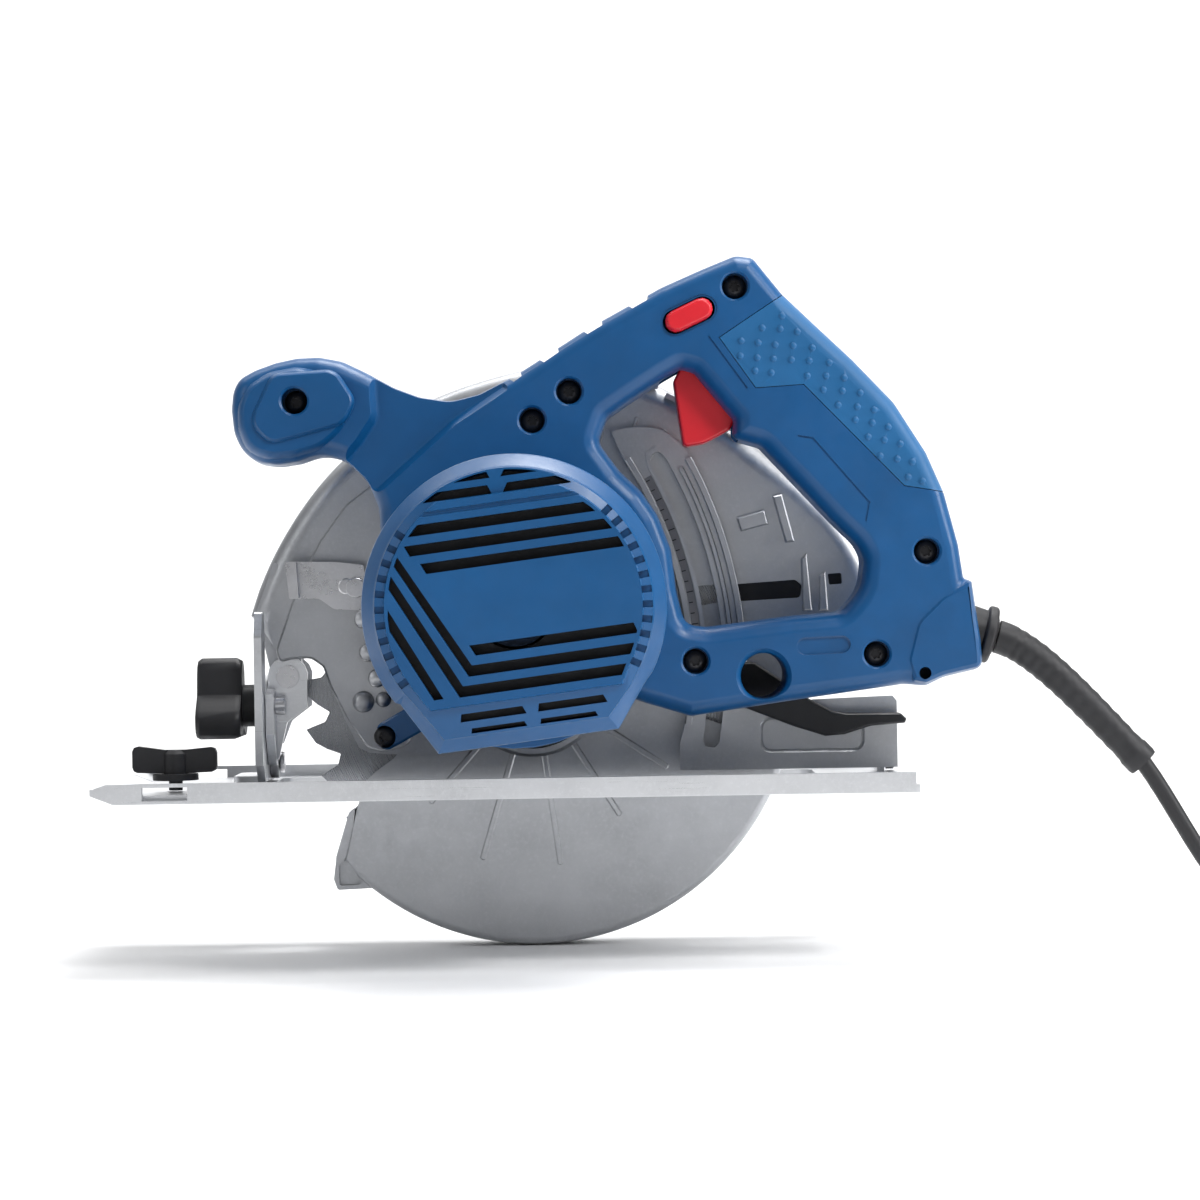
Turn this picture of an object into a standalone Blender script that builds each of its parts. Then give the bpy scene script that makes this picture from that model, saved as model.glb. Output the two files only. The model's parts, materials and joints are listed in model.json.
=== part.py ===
"""Hand-held circular saw with a 184 mm blade, at rest on its sole with the lower guard closed.

Millimetres in the tables below, metres in the scene. +X runs from the front of the sole to the rear,
+Y from the motor side to the blade side, +Z up. The origin is the centre of the sole's underside.
Everything that swings with the saw head is drawn in the head's own frame: origin on the spindle axis,
u to the rear, v up, square to the sole when the saw is at full depth, and turned by HEAD_TILT at rest.
"""

import math

import bmesh
import bpy
from mathutils import Matrix, Vector

for old in list(bpy.data.objects):
    bpy.data.objects.remove(old, do_unlink=True)

MM = 0.001

# ---- driving dimensions -------------------------------------------------------------------------
SOLE_HALF_LENGTH = 151.5
SOLE_NEAR, SOLE_FAR = -72.0, 80.0
SOLE_SHEET = 3.0
LIP_HEIGHT = 7.5
WINDOW = (-92.0, 119.0, 16.0, 62.0)

SPINDLE_X, SPINDLE_Z = 9.2, 40.4
HEAD_TILT = 7.1
BLADE_R, BLADE_Y, BLADE_T = 92.0, 45.0, 1.8
BLADE_TEETH = 30

BEVEL_Y, BEVEL_Z = 45.0, 10.0
PIVOT_X, PIVOT_Z = -87.0, 44.0
SLOT_R = 167.5
CLAMP_ANGLE = -2.5
KNOB_Y, KNOB_Z = 27.3, 33.0

MOTOR_V = 30.0
GEAR_TEETH, PINION_TEETH, GEAR_MODULE = 37, 11, 1.25
PRESSURE_ANGLE = 25.0
TOOTH_THINNING = 0.12

GUARD_R = 103.0
SPLIT_Y = -15.0
CORD_R = 3.2

T = math.radians(HEAD_TILT)


# ---- small geometry helpers -----------------------------------------------------------------------
def arc(cx, cy, r, a0, a1, n):
    """n+1 points from angle a0 to a1 (degrees), both ends included."""
    return [
        (
            cx + r * math.cos(math.radians(a0 + (a1 - a0) * i / n)),
            cy + r * math.sin(math.radians(a0 + (a1 - a0) * i / n)),
        )
        for i in range(n + 1)
    ]


def circle(cx, cy, r, n, start=0.0):
    return arc(cx, cy, r, start, start + 360.0, n)[:-1]


def fillet(points, default=0.0, n=3):
    """Rounds the corners of a polygon. A point is (x, y) or (x, y, radius)."""
    out = []
    count = len(points)
    for i in range(count):
        p = Vector(points[i][:2])
        r = points[i][2] if len(points[i]) > 2 else default
        a = Vector(points[i - 1][:2]) - p
        b = Vector(points[(i + 1) % count][:2]) - p
        if r <= 0 or a.length < 1e-6 or b.length < 1e-6:
            out.append((p.x, p.y))
            continue
        la, lb = a.length, b.length
        a.normalize()
        b.normalize()
        half = math.acos(max(-1.0, min(1.0, a.dot(b)))) / 2
        if half > math.radians(87):
            out.append((p.x, p.y))
            continue
        back = min(r / math.tan(half), 0.48 * la, 0.48 * lb)
        r = back * math.tan(half)
        centre = p + (a + b).normalized() * (r / math.sin(half))
        s, e = p + a * back - centre, p + b * back - centre
        a0, a1 = math.atan2(s.y, s.x), math.atan2(e.y, e.x)
        turn = (a1 - a0 + math.pi) % (2 * math.pi) - math.pi
        for k in range(n + 1):
            t = a0 + turn * k / n
            out.append((centre.x + r * math.cos(t), centre.y + r * math.sin(t)))
    return out


def area(points):
    return 0.5 * sum(
        points[i - 1][0] * points[i][1] - points[i][0] * points[i - 1][1]
        for i in range(len(points))
    )


def inset(points, d):
    """Moves every edge of a polygon inwards by d (outwards when negative), corner by corner."""
    if area(points) < 0:
        points = points[::-1]
    out = []
    count = len(points)
    for i in range(count):
        p = Vector(points[i])
        a = (p - Vector(points[i - 1])).normalized()
        b = (Vector(points[(i + 1) % count]) - p).normalized()
        na, nb = Vector((-a.y, a.x)), Vector((-b.y, b.x))
        m = na + nb
        m = m / max(0.35, 1 + na.dot(nb))
        out.append((p.x + m.x * d, p.y + m.y * d))
    return out


def shrunk(points, d, n=1):
    """A polygon with rounded corners, moved inwards by d. The roundings shrink or grow with it."""
    if area(points) < 0:
        points = points[::-1]
    moved = inset([q[:2] for q in points], d)
    out = []
    for i, q in enumerate(points):
        r = q[2] if len(q) > 2 else 0.0
        if r > 0:
            a = Vector(q[:2]) - Vector(points[i - 1][:2])
            b = Vector(points[(i + 1) % len(points)][:2]) - Vector(q[:2])
            r = max(0.4, r - d if a.cross(b) > 0 else r + d)
        out.append((moved[i][0], moved[i][1], r))
    return fillet(out, 0.0, n)


def slot(x0, y0, x1, y1, r, n=6):
    """A straight slot with round ends."""
    a = math.degrees(math.atan2(y1 - y0, x1 - x0))
    return arc(x1, y1, r, a - 90, a + 90, n) + arc(x0, y0, r, a + 90, a + 270, n)


# ---- materials -------------------------------------------------------------------------------------
COLOURS = {
    "blue_plastic": (0.012, 0.13, 0.30, 0.0, 0.42),
    "blue_soft_grip": (0.010, 0.10, 0.24, 0.0, 0.65),
    "red_plastic": (0.62, 0.02, 0.02, 0.0, 0.4),
    "black_plastic": (0.012, 0.012, 0.013, 0.0, 0.45),
    "black_rubber": (0.010, 0.010, 0.010, 0.0, 0.7),
    "cast_aluminium": (0.52, 0.53, 0.55, 1.0, 0.5),
    "sheet_steel": (0.50, 0.51, 0.53, 1.0, 0.38),
    "plated_steel": (0.62, 0.62, 0.64, 1.0, 0.3),
    "blade_steel": (0.42, 0.43, 0.45, 1.0, 0.28),
    "copper": (0.72, 0.35, 0.18, 1.0, 0.35),
    "core_steel": (0.20, 0.20, 0.21, 1.0, 0.5),
    "carbon": (0.03, 0.03, 0.03, 0.0, 0.6),
    "grey_plastic": (0.25, 0.25, 0.26, 0.0, 0.5),
    "brass": (0.62, 0.45, 0.16, 1.0, 0.3),
}


def finish(obj, kind, smooth):
    red, green, blue, metallic, roughness = COLOURS[kind]
    mat = bpy.data.materials.new(obj.name + "_" + kind)
    mat.use_nodes = True
    shader = mat.node_tree.nodes["Principled BSDF"]
    shader.inputs["Base Color"].default_value = (red, green, blue, 1)
    shader.inputs["Metallic"].default_value = metallic
    shader.inputs["Roughness"].default_value = roughness
    mat.diffuse_color = (red, green, blue, 1)
    obj.data.materials.append(mat)
    if smooth:
        obj.data.shade_smooth()
        obj.data.set_sharp_from_angle(angle=math.radians(32))


# ---- frames ----------------------------------------------------------------------------------------
WORLD = Matrix.Identity(4)
# the lead leaves the rear of the handle pointing a little down
GLAND = Matrix.Translation((0.1760, -0.0150, 0.0584)) @ Matrix.Rotation(math.radians(15.0), 4, "Y")
HEAD = Matrix.Translation((SPINDLE_X * MM, 0, SPINDLE_Z * MM)) @ Matrix.Rotation(-T, 4, "Y")


def head_to_world(u, v):
    return (
        SPINDLE_X + u * math.cos(T) - v * math.sin(T),
        SPINDLE_Z + u * math.sin(T) + v * math.cos(T),
    )


def world_to_head(x, z):
    dx, dz = x - SPINDLE_X, z - SPINDLE_Z
    return dx * math.cos(T) + dz * math.sin(T), -dx * math.sin(T) + dz * math.cos(T)


# ---- solids ------------------------------------------------------------------------------------------
def new_object(name, verts, faces, frame, origin=(0, 0, 0)):
    """verts in mm in the given frame. origin (mm, same frame) becomes the object's own origin."""
    mesh = bpy.data.meshes.new(name)
    o = Vector(origin)
    mesh.from_pydata([(Vector(p) - o) * MM for p in verts], [], faces)
    bm = bmesh.new()
    bm.from_mesh(mesh)
    bmesh.ops.remove_doubles(bm, verts=bm.verts, dist=1e-7)
    # four-cornered faces that aren't flat are split, so that every cut is exact
    bent = []
    for f in bm.faces:
        if len(f.verts) == 4:
            f.normal_update()
            if max(abs((v.co - f.verts[0].co).dot(f.normal)) for v in f.verts) > 2e-6:
                bent.append(f)
    bmesh.ops.triangulate(bm, faces=bent)
    bmesh.ops.recalc_face_normals(bm, faces=bm.faces)
    bm.to_mesh(mesh)
    bm.free()
    obj = bpy.data.objects.new(name, mesh)
    bpy.context.scene.collection.objects.link(obj)
    obj.matrix_world = frame @ Matrix.Translation(o * MM)
    return obj


def place(axis, a, b, c):
    """A profile point (a, b) at c along the axis."""
    return {"Y": (a, c, b), "X": (c, a, b), "Z": (a, b, c)}[axis]


def loft(name, rings, frame, origin=(0, 0, 0), axis="Y"):
    """rings: [(points, c)], all with the same number of points, closed with a flat cap at each end."""
    verts, faces = [], []
    n = len(rings[0][0])
    for points, c in rings:
        verts += [place(axis, p[0], p[1], c) for p in points]
    for k in range(len(rings) - 1):
        for i in range(n):
            j = (i + 1) % n
            faces.append((k * n + i, k * n + j, (k + 1) * n + j, (k + 1) * n + i))
    faces.append(tuple(range(n)))
    faces.append(tuple(range((len(rings) - 1) * n, len(rings) * n)))
    return new_object(name, verts, faces, frame, origin)


def prism(name, points, c0, c1, frame, origin=(0, 0, 0), axis="Y"):
    return loft(name, [(points, c0), (points, c1)], frame, origin, axis)


def lathe(name, profile, centre, frame, origin=(0, 0, 0), axis="Y", n=24):
    """profile: [(radius, along)]. All radii positive gives a ring, else it starts and ends on the axis."""
    closed = all(r > 0 for r, _ in profile)
    verts, faces = [], []
    rows = []
    for r, c in profile:
        if r <= 0:
            rows.append([len(verts)])
            verts.append(place(axis, centre[0], centre[1], c))
            continue
        rows.append(list(range(len(verts), len(verts) + n)))
        for i in range(n):
            t = 2 * math.pi * i / n
            verts.append(
                place(axis, centre[0] + r * math.cos(t), centre[1] + r * math.sin(t), c)
            )
    last = len(rows) if closed else len(rows) - 1
    for k in range(last):
        a, b = rows[k], rows[(k + 1) % len(rows)]
        for i in range(n):
            j = (i + 1) % n
            if len(a) == 1 and len(b) == 1:
                continue
            if len(a) == 1:
                faces.append((a[0], b[j], b[i]))
            elif len(b) == 1:
                faces.append((a[i], a[j], b[0]))
            else:
                faces.append((a[i], a[j], b[j], b[i]))
    return new_object(name, verts, faces, frame, origin)


def cylinder(name, centre, r, c0, c1, frame, origin=(0, 0, 0), axis="Y", n=24, start=0.0):
    return prism(name, circle(centre[0], centre[1], r, n, start), c0, c1, frame, origin, axis)


def helper(obj):
    obj.hide_render = True
    obj.display_type = "WIRE"
    return obj


def combine(obj, other, operation, solver="EXACT"):
    modifier = obj.modifiers.new(operation.lower() + "_" + other.name, "BOOLEAN")
    modifier.operation = operation
    modifier.object = helper(other)
    modifier.solver = solver
    return obj


def cut(obj, *others):
    for other in others:
        combine(obj, other, "DIFFERENCE")
    return obj


def add(obj, *others):
    for other in others:
        combine(obj, other, "UNION")
    return obj


def many(name, solids):
    """Several separate prisms in one helper: [(points, c0, c1, frame, axis)]."""
    parts = [
        prism(name + "_" + str(i), p, a, b, frame, axis=axis)
        for i, (p, a, b, frame, axis) in enumerate(solids)
    ]
    verts, faces = [], []
    for obj in parts:
        base = len(verts)
        verts += [tuple((obj.matrix_world @ v.co) / MM) for v in obj.data.vertices]
        faces += [tuple(base + i for i in f.vertices) for f in obj.data.polygons]
        bpy.data.objects.remove(obj, do_unlink=True)
    return new_object(name, verts, faces, WORLD)


# ================================================================================================
# Base: the sole and what is fixed to it
# ================================================================================================
def build_sole():
    near, far, half = SOLE_NEAR, SOLE_FAR, SOLE_HALF_LENGTH
    # the side view: flat sheet with the front edge turned up like a ski
    side = [
        (-half, 3.4), (-143.0, 0.0), (half, 0.0), (half, SOLE_SHEET),
        (-142.0, SOLE_SHEET), (-half + 3.0, 5.6), (-half, 5.8),
    ]
    obj = prism("sole_plate", side, near + 0.4, far - 0.4, WORLD)
    lip = [
        (-half + 1.5, 3.2), (-143.0, 0.2), (half - 1.5, 0.2),
        (half - 1.5, LIP_HEIGHT), (-half + 6.0, LIP_HEIGHT), (-half + 1.5, 6.0),
    ]
    add(obj, prism("near_lip", lip, near, near + 3.0, WORLD))
    add(obj, prism("far_lip", lip, far - 3.0, far, WORLD))
    # rear ear that carries the rear bevel pin
    ear = [(36.5, 1.0), (53.5, 1.0), (53.5, 6.0)] + arc(BEVEL_Y, BEVEL_Z, 7.0, 10, 170, 7) + [(36.5, 6.0)]
    add(obj, prism("rear_ear", ear, 143.6, 146.4, WORLD, axis="X"))
    x0, x1, y0, y1 = WINDOW
    window = fillet([(x0, y0), (x1, y0), (x1, y1), (x0, y1)], 5.0, 4)
    guide = [(-132.4, 1.2), (-115.8, 1.2), (-115.8, 6.2), (-132.4, 6.2)]
    notch = [(-160.0, 42.6), (-160.0, 47.4), (-141.0, 45.6), (-141.0, 44.4)]
    cut(
        obj,
        many(
            "sole_openings",
            [
                (window, -5.0, 20.0, WORLD, "Z"),
                (guide, near - 2.0, near + 6.0, WORLD, "Y"),
                (guide, far - 6.0, far + 2.0, WORLD, "Y"),
                (notch, -5.0, 20.0, WORLD, "Z"),
                (circle(BEVEL_Y, BEVEL_Z, 2.8, 14), 140.0, 149.0, WORLD, "X"),
                (circle(-124.0, -35.0, 3.4, 12), -5.0, 8.0, WORLD, "Z"),
            ],
        ),
    )
    finish(obj, "sheet_steel", False)


def build_front_quadrant():
    by, bz = BEVEL_Y, BEVEL_Z
    # quarter plate about the bevel axis, with a curved slot for the clamping bolt
    plate = [(20.0, 3.3), (59.0, 3.3)] + arc(by, bz, 34.7, 60.0, 163.0, 12) + [(11.0, 12.0)]
    obj = prism("front_quadrant", plate, -98.2, -95.2, WORLD, axis="X")
    foot = fillet([(-108.0, 22.0), (-95.4, 22.0), (-95.4, 57.0), (-108.0, 57.0)], 3.0, 2)
    add(obj, prism("quadrant_foot", foot, 3.2, 5.6, WORLD, axis="Z"))
    # tall tongue on the near side of the guard
    tongue = fillet([(9.5, 10.0, 0), (25.0, 10.0, 0), (25.0, 64.5), (21.0, 69.5), (15.5, 69.5), (9.5, 60.0)], 2.0, 3)
    add(obj, prism("quadrant_tongue", tongue, -98.2, -95.2, WORLD, axis="X"))
    start = 180.0 - math.degrees(math.atan2(KNOB_Z - bz, by - KNOB_Y))
    r = math.hypot(KNOB_Y - by, KNOB_Z - bz)
    a0, a1 = start + 6.4, start - 51.4
    outer = arc(by, bz, r + 3.3, a0, a1, 10)
    inner = arc(by, bz, r - 3.3, a1, a0, 10)
    cut(
        obj,
        many(
            "quadrant_openings",
            [
                (outer + inner, -100.0, -93.0, WORLD, "X"),
                (circle(by, bz, 2.8, 14), -100.5, -93.2, WORLD, "X"),
            ],
        ),
    )
    finish(obj, "sheet_steel", False)


def build_guide_clamp_screw():
    c = (-124.0, -35.0)
    profile = [(0, 3.4), (2.6, 3.4), (2.6, 7.2), (8.6, 7.2), (8.6, 9.6), (4.6, 9.6), (4.6, 17.0), (3.2, 18.4), (0, 18.4)]
    obj = lathe("guide_clamp_screw", profile, c, WORLD, (c[0], c[1], 0), "Z", 16)
    wing = fillet([(-16.0, 10.2), (-5.0, 9.8), (5.0, 9.8), (15.6, 10.2), (15.6, 19.6), (4.0, 18.6), (-4.0, 18.6), (-16.0, 20.4)], 2.0, 2)
    wing = [(c[0] + p[0], p[1]) for p in wing]
    add(obj, prism("wing", wing, c[1] - 2.0, c[1] + 2.0, WORLD))
    finish(obj, "black_plastic", False)


# ================================================================================================
# Bevel carriage: tilts about the bevel axis
# ================================================================================================
def build_tilt_bracket():
    by, bz = BEVEL_Y, BEVEL_Z
    plate = [(20.0, 22.0), (31.0, 9.5), (38.0, 9.0)] + arc(by, bz, 6.4, 200.0, 340.0, 6) + [
        (52.5, 11.0), (58.8, 16.5), (58.8, 36.0), (31.3, 36.0), (31.3, 38.5), (24.0, 39.5), (20.0, 37.0),
    ]
    obj = prism("tilt_bracket", plate, -94.9, -91.7, WORLD, axis="X")
    ear = [(-94.9, 11.5), (-91.0, 11.5), (-87.5, 26.0), (-79.5, 32.0)] + arc(PIVOT_X, PIVOT_Z, 7.9, -15.0, 180.0, 8)
    far_ear = [(-94.9, 17.0), (-91.0, 17.0), (-87.5, 26.0), (-79.5, 32.0)] + arc(PIVOT_X, PIVOT_Z, 7.9, -15.0, 180.0, 8)
    add(obj, prism("near_ear", ear, 31.4, 34.2, WORLD))
    add(obj, prism("far_ear", far_ear, 55.9, 58.7, WORLD))
    cut(
        obj,
        many(
            "tilt_bracket_holes",
            [
                (circle(PIVOT_X, PIVOT_Z, 3.2, 14), 20.0, 70.0, WORLD, "Y"),
                (circle(by, bz, 2.8, 14), -99.0, -88.0, WORLD, "X"),
                (circle(KNOB_Y, KNOB_Z, 3.3, 14), -99.0, -88.0, WORLD, "X"),
            ],
        ),
    )
    finish(obj, "sheet_steel", False)


def polar(r, a):
    return (PIVOT_X + r * math.cos(math.radians(a)), PIVOT_Z + r * math.sin(math.radians(a)))


def sweep(r0, r1, a0, a1, n):
    """A curved bar about the depth pivot."""
    outer = [polar(r1, a0 + (a1 - a0) * i / n) for i in range(n + 1)]
    inner = [polar(r0, a1 + (a0 - a1) * i / n) for i in range(n + 1)]
    return outer + inner


def build_depth_arm():
    s = SLOT_R
    outline = (
        [(150.6, 5.2), (150.6, 31.0), (149.0, 33.0), (100.0, 31.4), (91.5, 28.6)]
        + [polar(s + 12.0, a) for a in (-4.0, 0.0, 4.0, 8.0, 12.0, 16.0, 20.0, 24.0, 28.0)]
        + [polar(s + 8.0, 32.2), polar(s - 2.0, 35.0), polar(s - 9.0, 36.0)]
        + [polar(s - 11.0, a) for a in (32.0, 28.0, 24.0, 20.0, 16.0, 12.0, 8.0, 4.0, 0.0, -4.0, -8.0)]
        + [(66.0, 16.0), (66.0, 5.2)]
    )
    obj = prism("depth_arm", outline, 21.5, 24.5, WORLD)
    # thicker edges left standing along the curved part
    for name, r0, r1 in (("rib_inner", s - 11.0, s - 7.2), ("rib_outer", s + 8.6, s + 12.0)):
        add(obj, prism(name, sweep(r0, r1, -4.0, 29.0, 9), 23.0, 27.3, WORLD))
    # rear flange, square to the bevel axis
    flange = [(22.0, 5.2), (38.2, 5.2)] + arc(BEVEL_Y, BEVEL_Z, 6.5, 215.0, 360.0, 7) + [(51.5, 16.0), (42.0, 24.0), (36.0, 31.0), (22.0, 31.0)]
    add(obj, prism("rear_flange", flange, 147.6, 150.6, WORLD, axis="X"))
    slot_outline = (
        [polar(s + 3.2, a) for a in (-9.5, -5.0, 0.0, 5.0, 10.0, 15.0, 20.0, 25.0, 29.5)]
        + [polar(s + 1.8, 30.3), polar(s - 1.8, 30.3)]
        + [polar(s - 3.2, a) for a in (29.5, 25.0, 20.0, 15.0, 10.0, 5.0, 0.0, -5.0, -9.5)]
        + [polar(s - 1.8, -10.3), polar(s + 1.8, -10.3)]
    )
    emboss = fillet([(94.0, 11.8), (135.0, 11.8), (135.0, 24.6), (94.0, 24.6)], 3.5, 3)
    cut(
        obj,
        many(
            "depth_arm_openings",
            [
                (slot_outline, 15.0, 35.0, WORLD, "Y"),
                (circle(BEVEL_Y, BEVEL_Z, 2.8, 14), 143.0, 155.0, WORLD, "X"),
                (emboss, 20.0, 22.3, WORLD, "Y"),
            ],
        ),
    )
    finish(obj, "cast_aluminium", False)


def build_carriage_pins():
    by, bz = BEVEL_Y, BEVEL_Z
    front = lathe("front_bevel_pin", [(0, -100.6), (4.2, -100.6), (4.2, -98.5), (2.5, -98.5), (2.5, -91.3), (4.2, -91.3), (4.2, -89.6), (0, -89.6)], (by, bz), WORLD, axis="X", n=14)
    finish(front, "plated_steel", True)
    rear = lathe("rear_bevel_pin", [(0, 141.2), (4.2, 141.2), (4.2, 143.3), (2.5, 143.3), (2.5, 150.9), (4.2, 150.9), (4.2, 151.4), (0, 151.4)], (by, bz), WORLD, axis="X", n=14)
    finish(rear, "plated_steel", True)
    pin = lathe("depth_pivot_pin", [(0, 30.9), (4.6, 30.9), (4.6, 31.1), (2.9, 31.1), (2.9, 59.0), (4.6, 59.0), (4.6, 60.6), (0, 60.6)], (PIVOT_X, PIVOT_Z), WORLD, axis="Y", n=16)
    finish(pin, "plated_steel", True)
    bolt = lathe("bevel_bolt", [(0, -116.0), (3.0, -116.0), (3.0, -91.4), (3.8, -91.4), (3.8, -87.8), (0, -87.8)], (KNOB_Y, KNOB_Z), WORLD, axis="X", n=14)
    finish(bolt, "plated_steel", True)


def build_bevel_knob():
    y, z = KNOB_Y, KNOB_Z
    lobes = []
    for k in range(3):
        a = 90.0 + 120.0 * k
        lobes += arc(y + 12.6 * math.cos(math.radians(a)), z + 12.6 * math.sin(math.radians(a)), 6.4, a - 80, a + 80, 5)
        b = a + 60.0
        lobes += [(y + 9.2 * math.cos(math.radians(b)), z + 9.2 * math.sin(math.radians(b)))]
    small = [(y + (p[0] - y) * 0.93, z + (p[1] - z) * 0.93) for p in lobes]
    obj = loft("bevel_knob", [(small, -121.5), (lobes, -119.8), (lobes, -106.5), (small, -104.0)], WORLD, (-110.0, y, z), "X")
    add(obj, cylinder("knob_hub", (y, z), 8.3, -105.0, -98.5, WORLD, axis="X", n=18))
    cut(obj, cylinder("knob_bore", (y, z), 3.3, -116.6, -95.0, WORLD, axis="X", n=14))
    finish(obj, "black_plastic", True)


# ================================================================================================
# Head: guard casting, gear housing
# ================================================================================================
def guard_outline(extra=0.0):
    """Outer edge of the upper guard's drum, widening to the rear into the chip outlet."""
    pts = [(-106.2, 41.0), (-100.5, 52.5), (-91.5, 66.5), (-79.0, 81.5), (-64.0, 95.0), (-46.0, 106.0), (-26.0, 114.5), (-4.0, 119.5), (20.0, 121.5), (44.0, 117.8), (66.0, 107.0), (84.0, 93.0), (102.0, 76.0), (118.0, 58.5), (130.0, 42.0), (137.0, 25.0), (139.0, 8.0)]
    out = []
    for u, v in pts:
        r = math.hypot(u, v)
        out.append((u * (r - extra) / r, v * (r - extra) / r))
    return out


def build_upper_guard():
    lower = [(138.0, -9.0), (110.0, -13.0), (66.0, -18.0), (40.0, -23.0), (-40.0, -23.0), (-60.0, -20.0), (-67.0, -18.5), (-71.0, -16.0), (-74.3, -6.0), (-78.3, 8.0), (-80.2, 17.0), (-84.0, 22.5), (-90.0, 24.6), (-95.0, 25.5), (-98.5, 27.5)]
    near = guard_outline(8.0) + lower
    full = guard_outline() + lower
    obj = loft("upper_guard", [(near, 28.0), (full, 35.0), (full, 60.4)], HEAD)
    # hollow for the blade and the lower guard, open towards the sole
    low_in = [(140.0, -60.0), (66.0, -60.0), (-40.0, -60.0), (-110.0, -60.0), (-122.0, 0.0), (-122.0, 30.0)]
    room_near = guard_outline(10.2) + low_in
    room_full = guard_outline(3.0) + low_in
    room = loft("guard_room", [(room_near, 31.0), (room_full, 36.0), (room_full, 58.4)], HEAD)
    cut(obj, room)
    # the blade side is left open below a band along the rim
    band = [(u * 0.80, v * 0.80) for u, v in guard_outline()]
    far_open = [(-150.0, band[0][1])] + band[:1] + band[1:] + [(112.0, -60.0), (-150.0, -60.0)]
    cut(obj, prism("far_opening", far_open, 57.9, 70.0, HEAD))
    # lug for the depth pivot, beside the blade
    pu, pv = world_to_head(PIVOT_X, PIVOT_Z)
    lug = [(pu + 6.4 * math.cos(math.radians(a)), pv + 6.4 * math.sin(math.radians(a))) for a in (180, 210, 240, 270, 300, 330, 0)]
    lug += [(pu + 5.0, pv + 12.0), (-93.0, 44.0), (-86.5, 56.0), (-94.0, 60.5), (-104.6, 43.0), (-103.6, 38.0)]
    add(obj, prism("pivot_lug", lug, 35.2, 41.4, HEAD))
    step = [(-103.8, 41.5), (-94.5, 41.5), (-86.0, 55.0), (-94.0, 60.5)]
    add(obj, prism("lug_step", step, 29.5, 41.0, HEAD))
    cut(
        obj,
        many(
            "guard_holes",
            [
                (circle(pu, pv, 3.2, 14), 33.0, 45.0, HEAD, "Y"),
                (circle(0.0, 0.0, 21.4, 32), 20.0, 34.0, HEAD, "Y"),
            ],
        ),
    )
    # raised marks of the casting seen through the handle
    ridge = [
        ([(94.0, 45.5), (99.5, 62.0), (103.0, 61.0), (98.0, 43.0)], 25.6, 28.6),
        ([(103.0, 13.0), (106.0, 36.0), (109.2, 36.5), (108.5, 13.0)], 25.6, 28.6),
        ([(113.0, 14.0), (113.5, 32.0), (116.0, 32.0), (117.0, 14.0)], 25.6, 28.6),
        ([(82.0, 50.6), (83.0, 56.0), (93.0, 55.0), (92.0, 49.6)], 26.6, 28.6),
    ]
    for i, (pts, a, b) in enumerate(ridge):
        add(obj, prism("ridge_%d" % i, pts, a, b, HEAD))
    finish(obj, "cast_aluminium", False)


def build_gear_housing():
    """A cup around the gears, with the nose that carries the spindle bearing and the lower guard."""
    outline = arc(0.0, MOTOR_V, 58.0, -20.0, 200.0, 20) + arc(0.0, 0.0, 28.4, 215.0, 325.0, 8)
    obj = prism("gear_housing", outline, 5.8, 27.7, HEAD)
    add(obj, cylinder("housing_register", (0, MOTOR_V), 50.4, 2.4, 8.0, HEAD, n=32))
    # small bosses round the rim, in front of the guard
    for i, a in enumerate((178.0, 190.0, 201.0)):
        c = (59.6 * math.cos(math.radians(a)), MOTOR_V + 59.6 * math.sin(math.radians(a)))
        add(obj, cylinder("boss_%d" % i, c, 3.4, -3.0, 12.0 + i * 0.2, HEAD, n=10))
    add(obj, cylinder("nose", (0, 0), 21.0, 20.0, 36.6, HEAD, n=32))
    room = slot(0.0, 0.0, 0.01, MOTOR_V, 25.2, 12)
    cut(
        obj,
        prism("gear_room", room, -2.0, 19.0, HEAD),
        cylinder("front_bearing_bore", (0, 0), 15.2, 18.0, 28.6, HEAD, n=24),
        cylinder("nose_bore", (0, 0), 9.0, 28.0, 40.0, HEAD, n=20),
    )
    finish(obj, "cast_aluminium", False)


def build_bearing_bridge():
    obj = cylinder("bearing_bridge", (0, MOTOR_V), 50.6, -7.0, 2.1, HEAD, n=32)
    cut(
        obj,
        many(
            "bridge_bores",
            [
                (circle(0, 0, 9.6, 20), -2.5, 6.0, HEAD, "Y"),
                (circle(0, MOTOR_V, 11.3, 20), -10.0, 6.0, HEAD, "Y"),
            ],
        ),
    )
    finish(obj, "cast_aluminium", False)


def build_spindle_lock():
    """Stamped tab in front of the motor that stops the spindle for a blade change."""
    outline = fillet([(-88.5, 59.0), (-58.8, 55.5), (-58.8, 37.0), (-64.0, 37.6), (-72.0, 42.6), (-86.0, 44.2)], 1.5, 2)
    obj = prism("spindle_lock_lever", outline, 19.5, 22.0, HEAD, (-63.0, 0.0, 46.0))
    edge = fillet([(-88.5, 59.0), (-85.2, 58.6), (-83.0, 44.0), (-86.0, 44.2)], 0.6, 2)
    add(obj, prism("lock_edge", edge, 16.5, 21.0, HEAD))
    cut(obj, cylinder("lock_bore", (-63.0, 46.0), 2.5, 15.0, 25.0, HEAD, n=12))
    finish(obj, "plated_steel", False)
    pin = lathe("spindle_lock_pin", [(0, 17.6), (4.0, 17.6), (4.0, 19.2), (2.2, 19.2), (2.2, 27.8), (0, 27.8)], (-63.0, 46.0), HEAD, n=12)
    finish(pin, "plated_steel", True)


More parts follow.
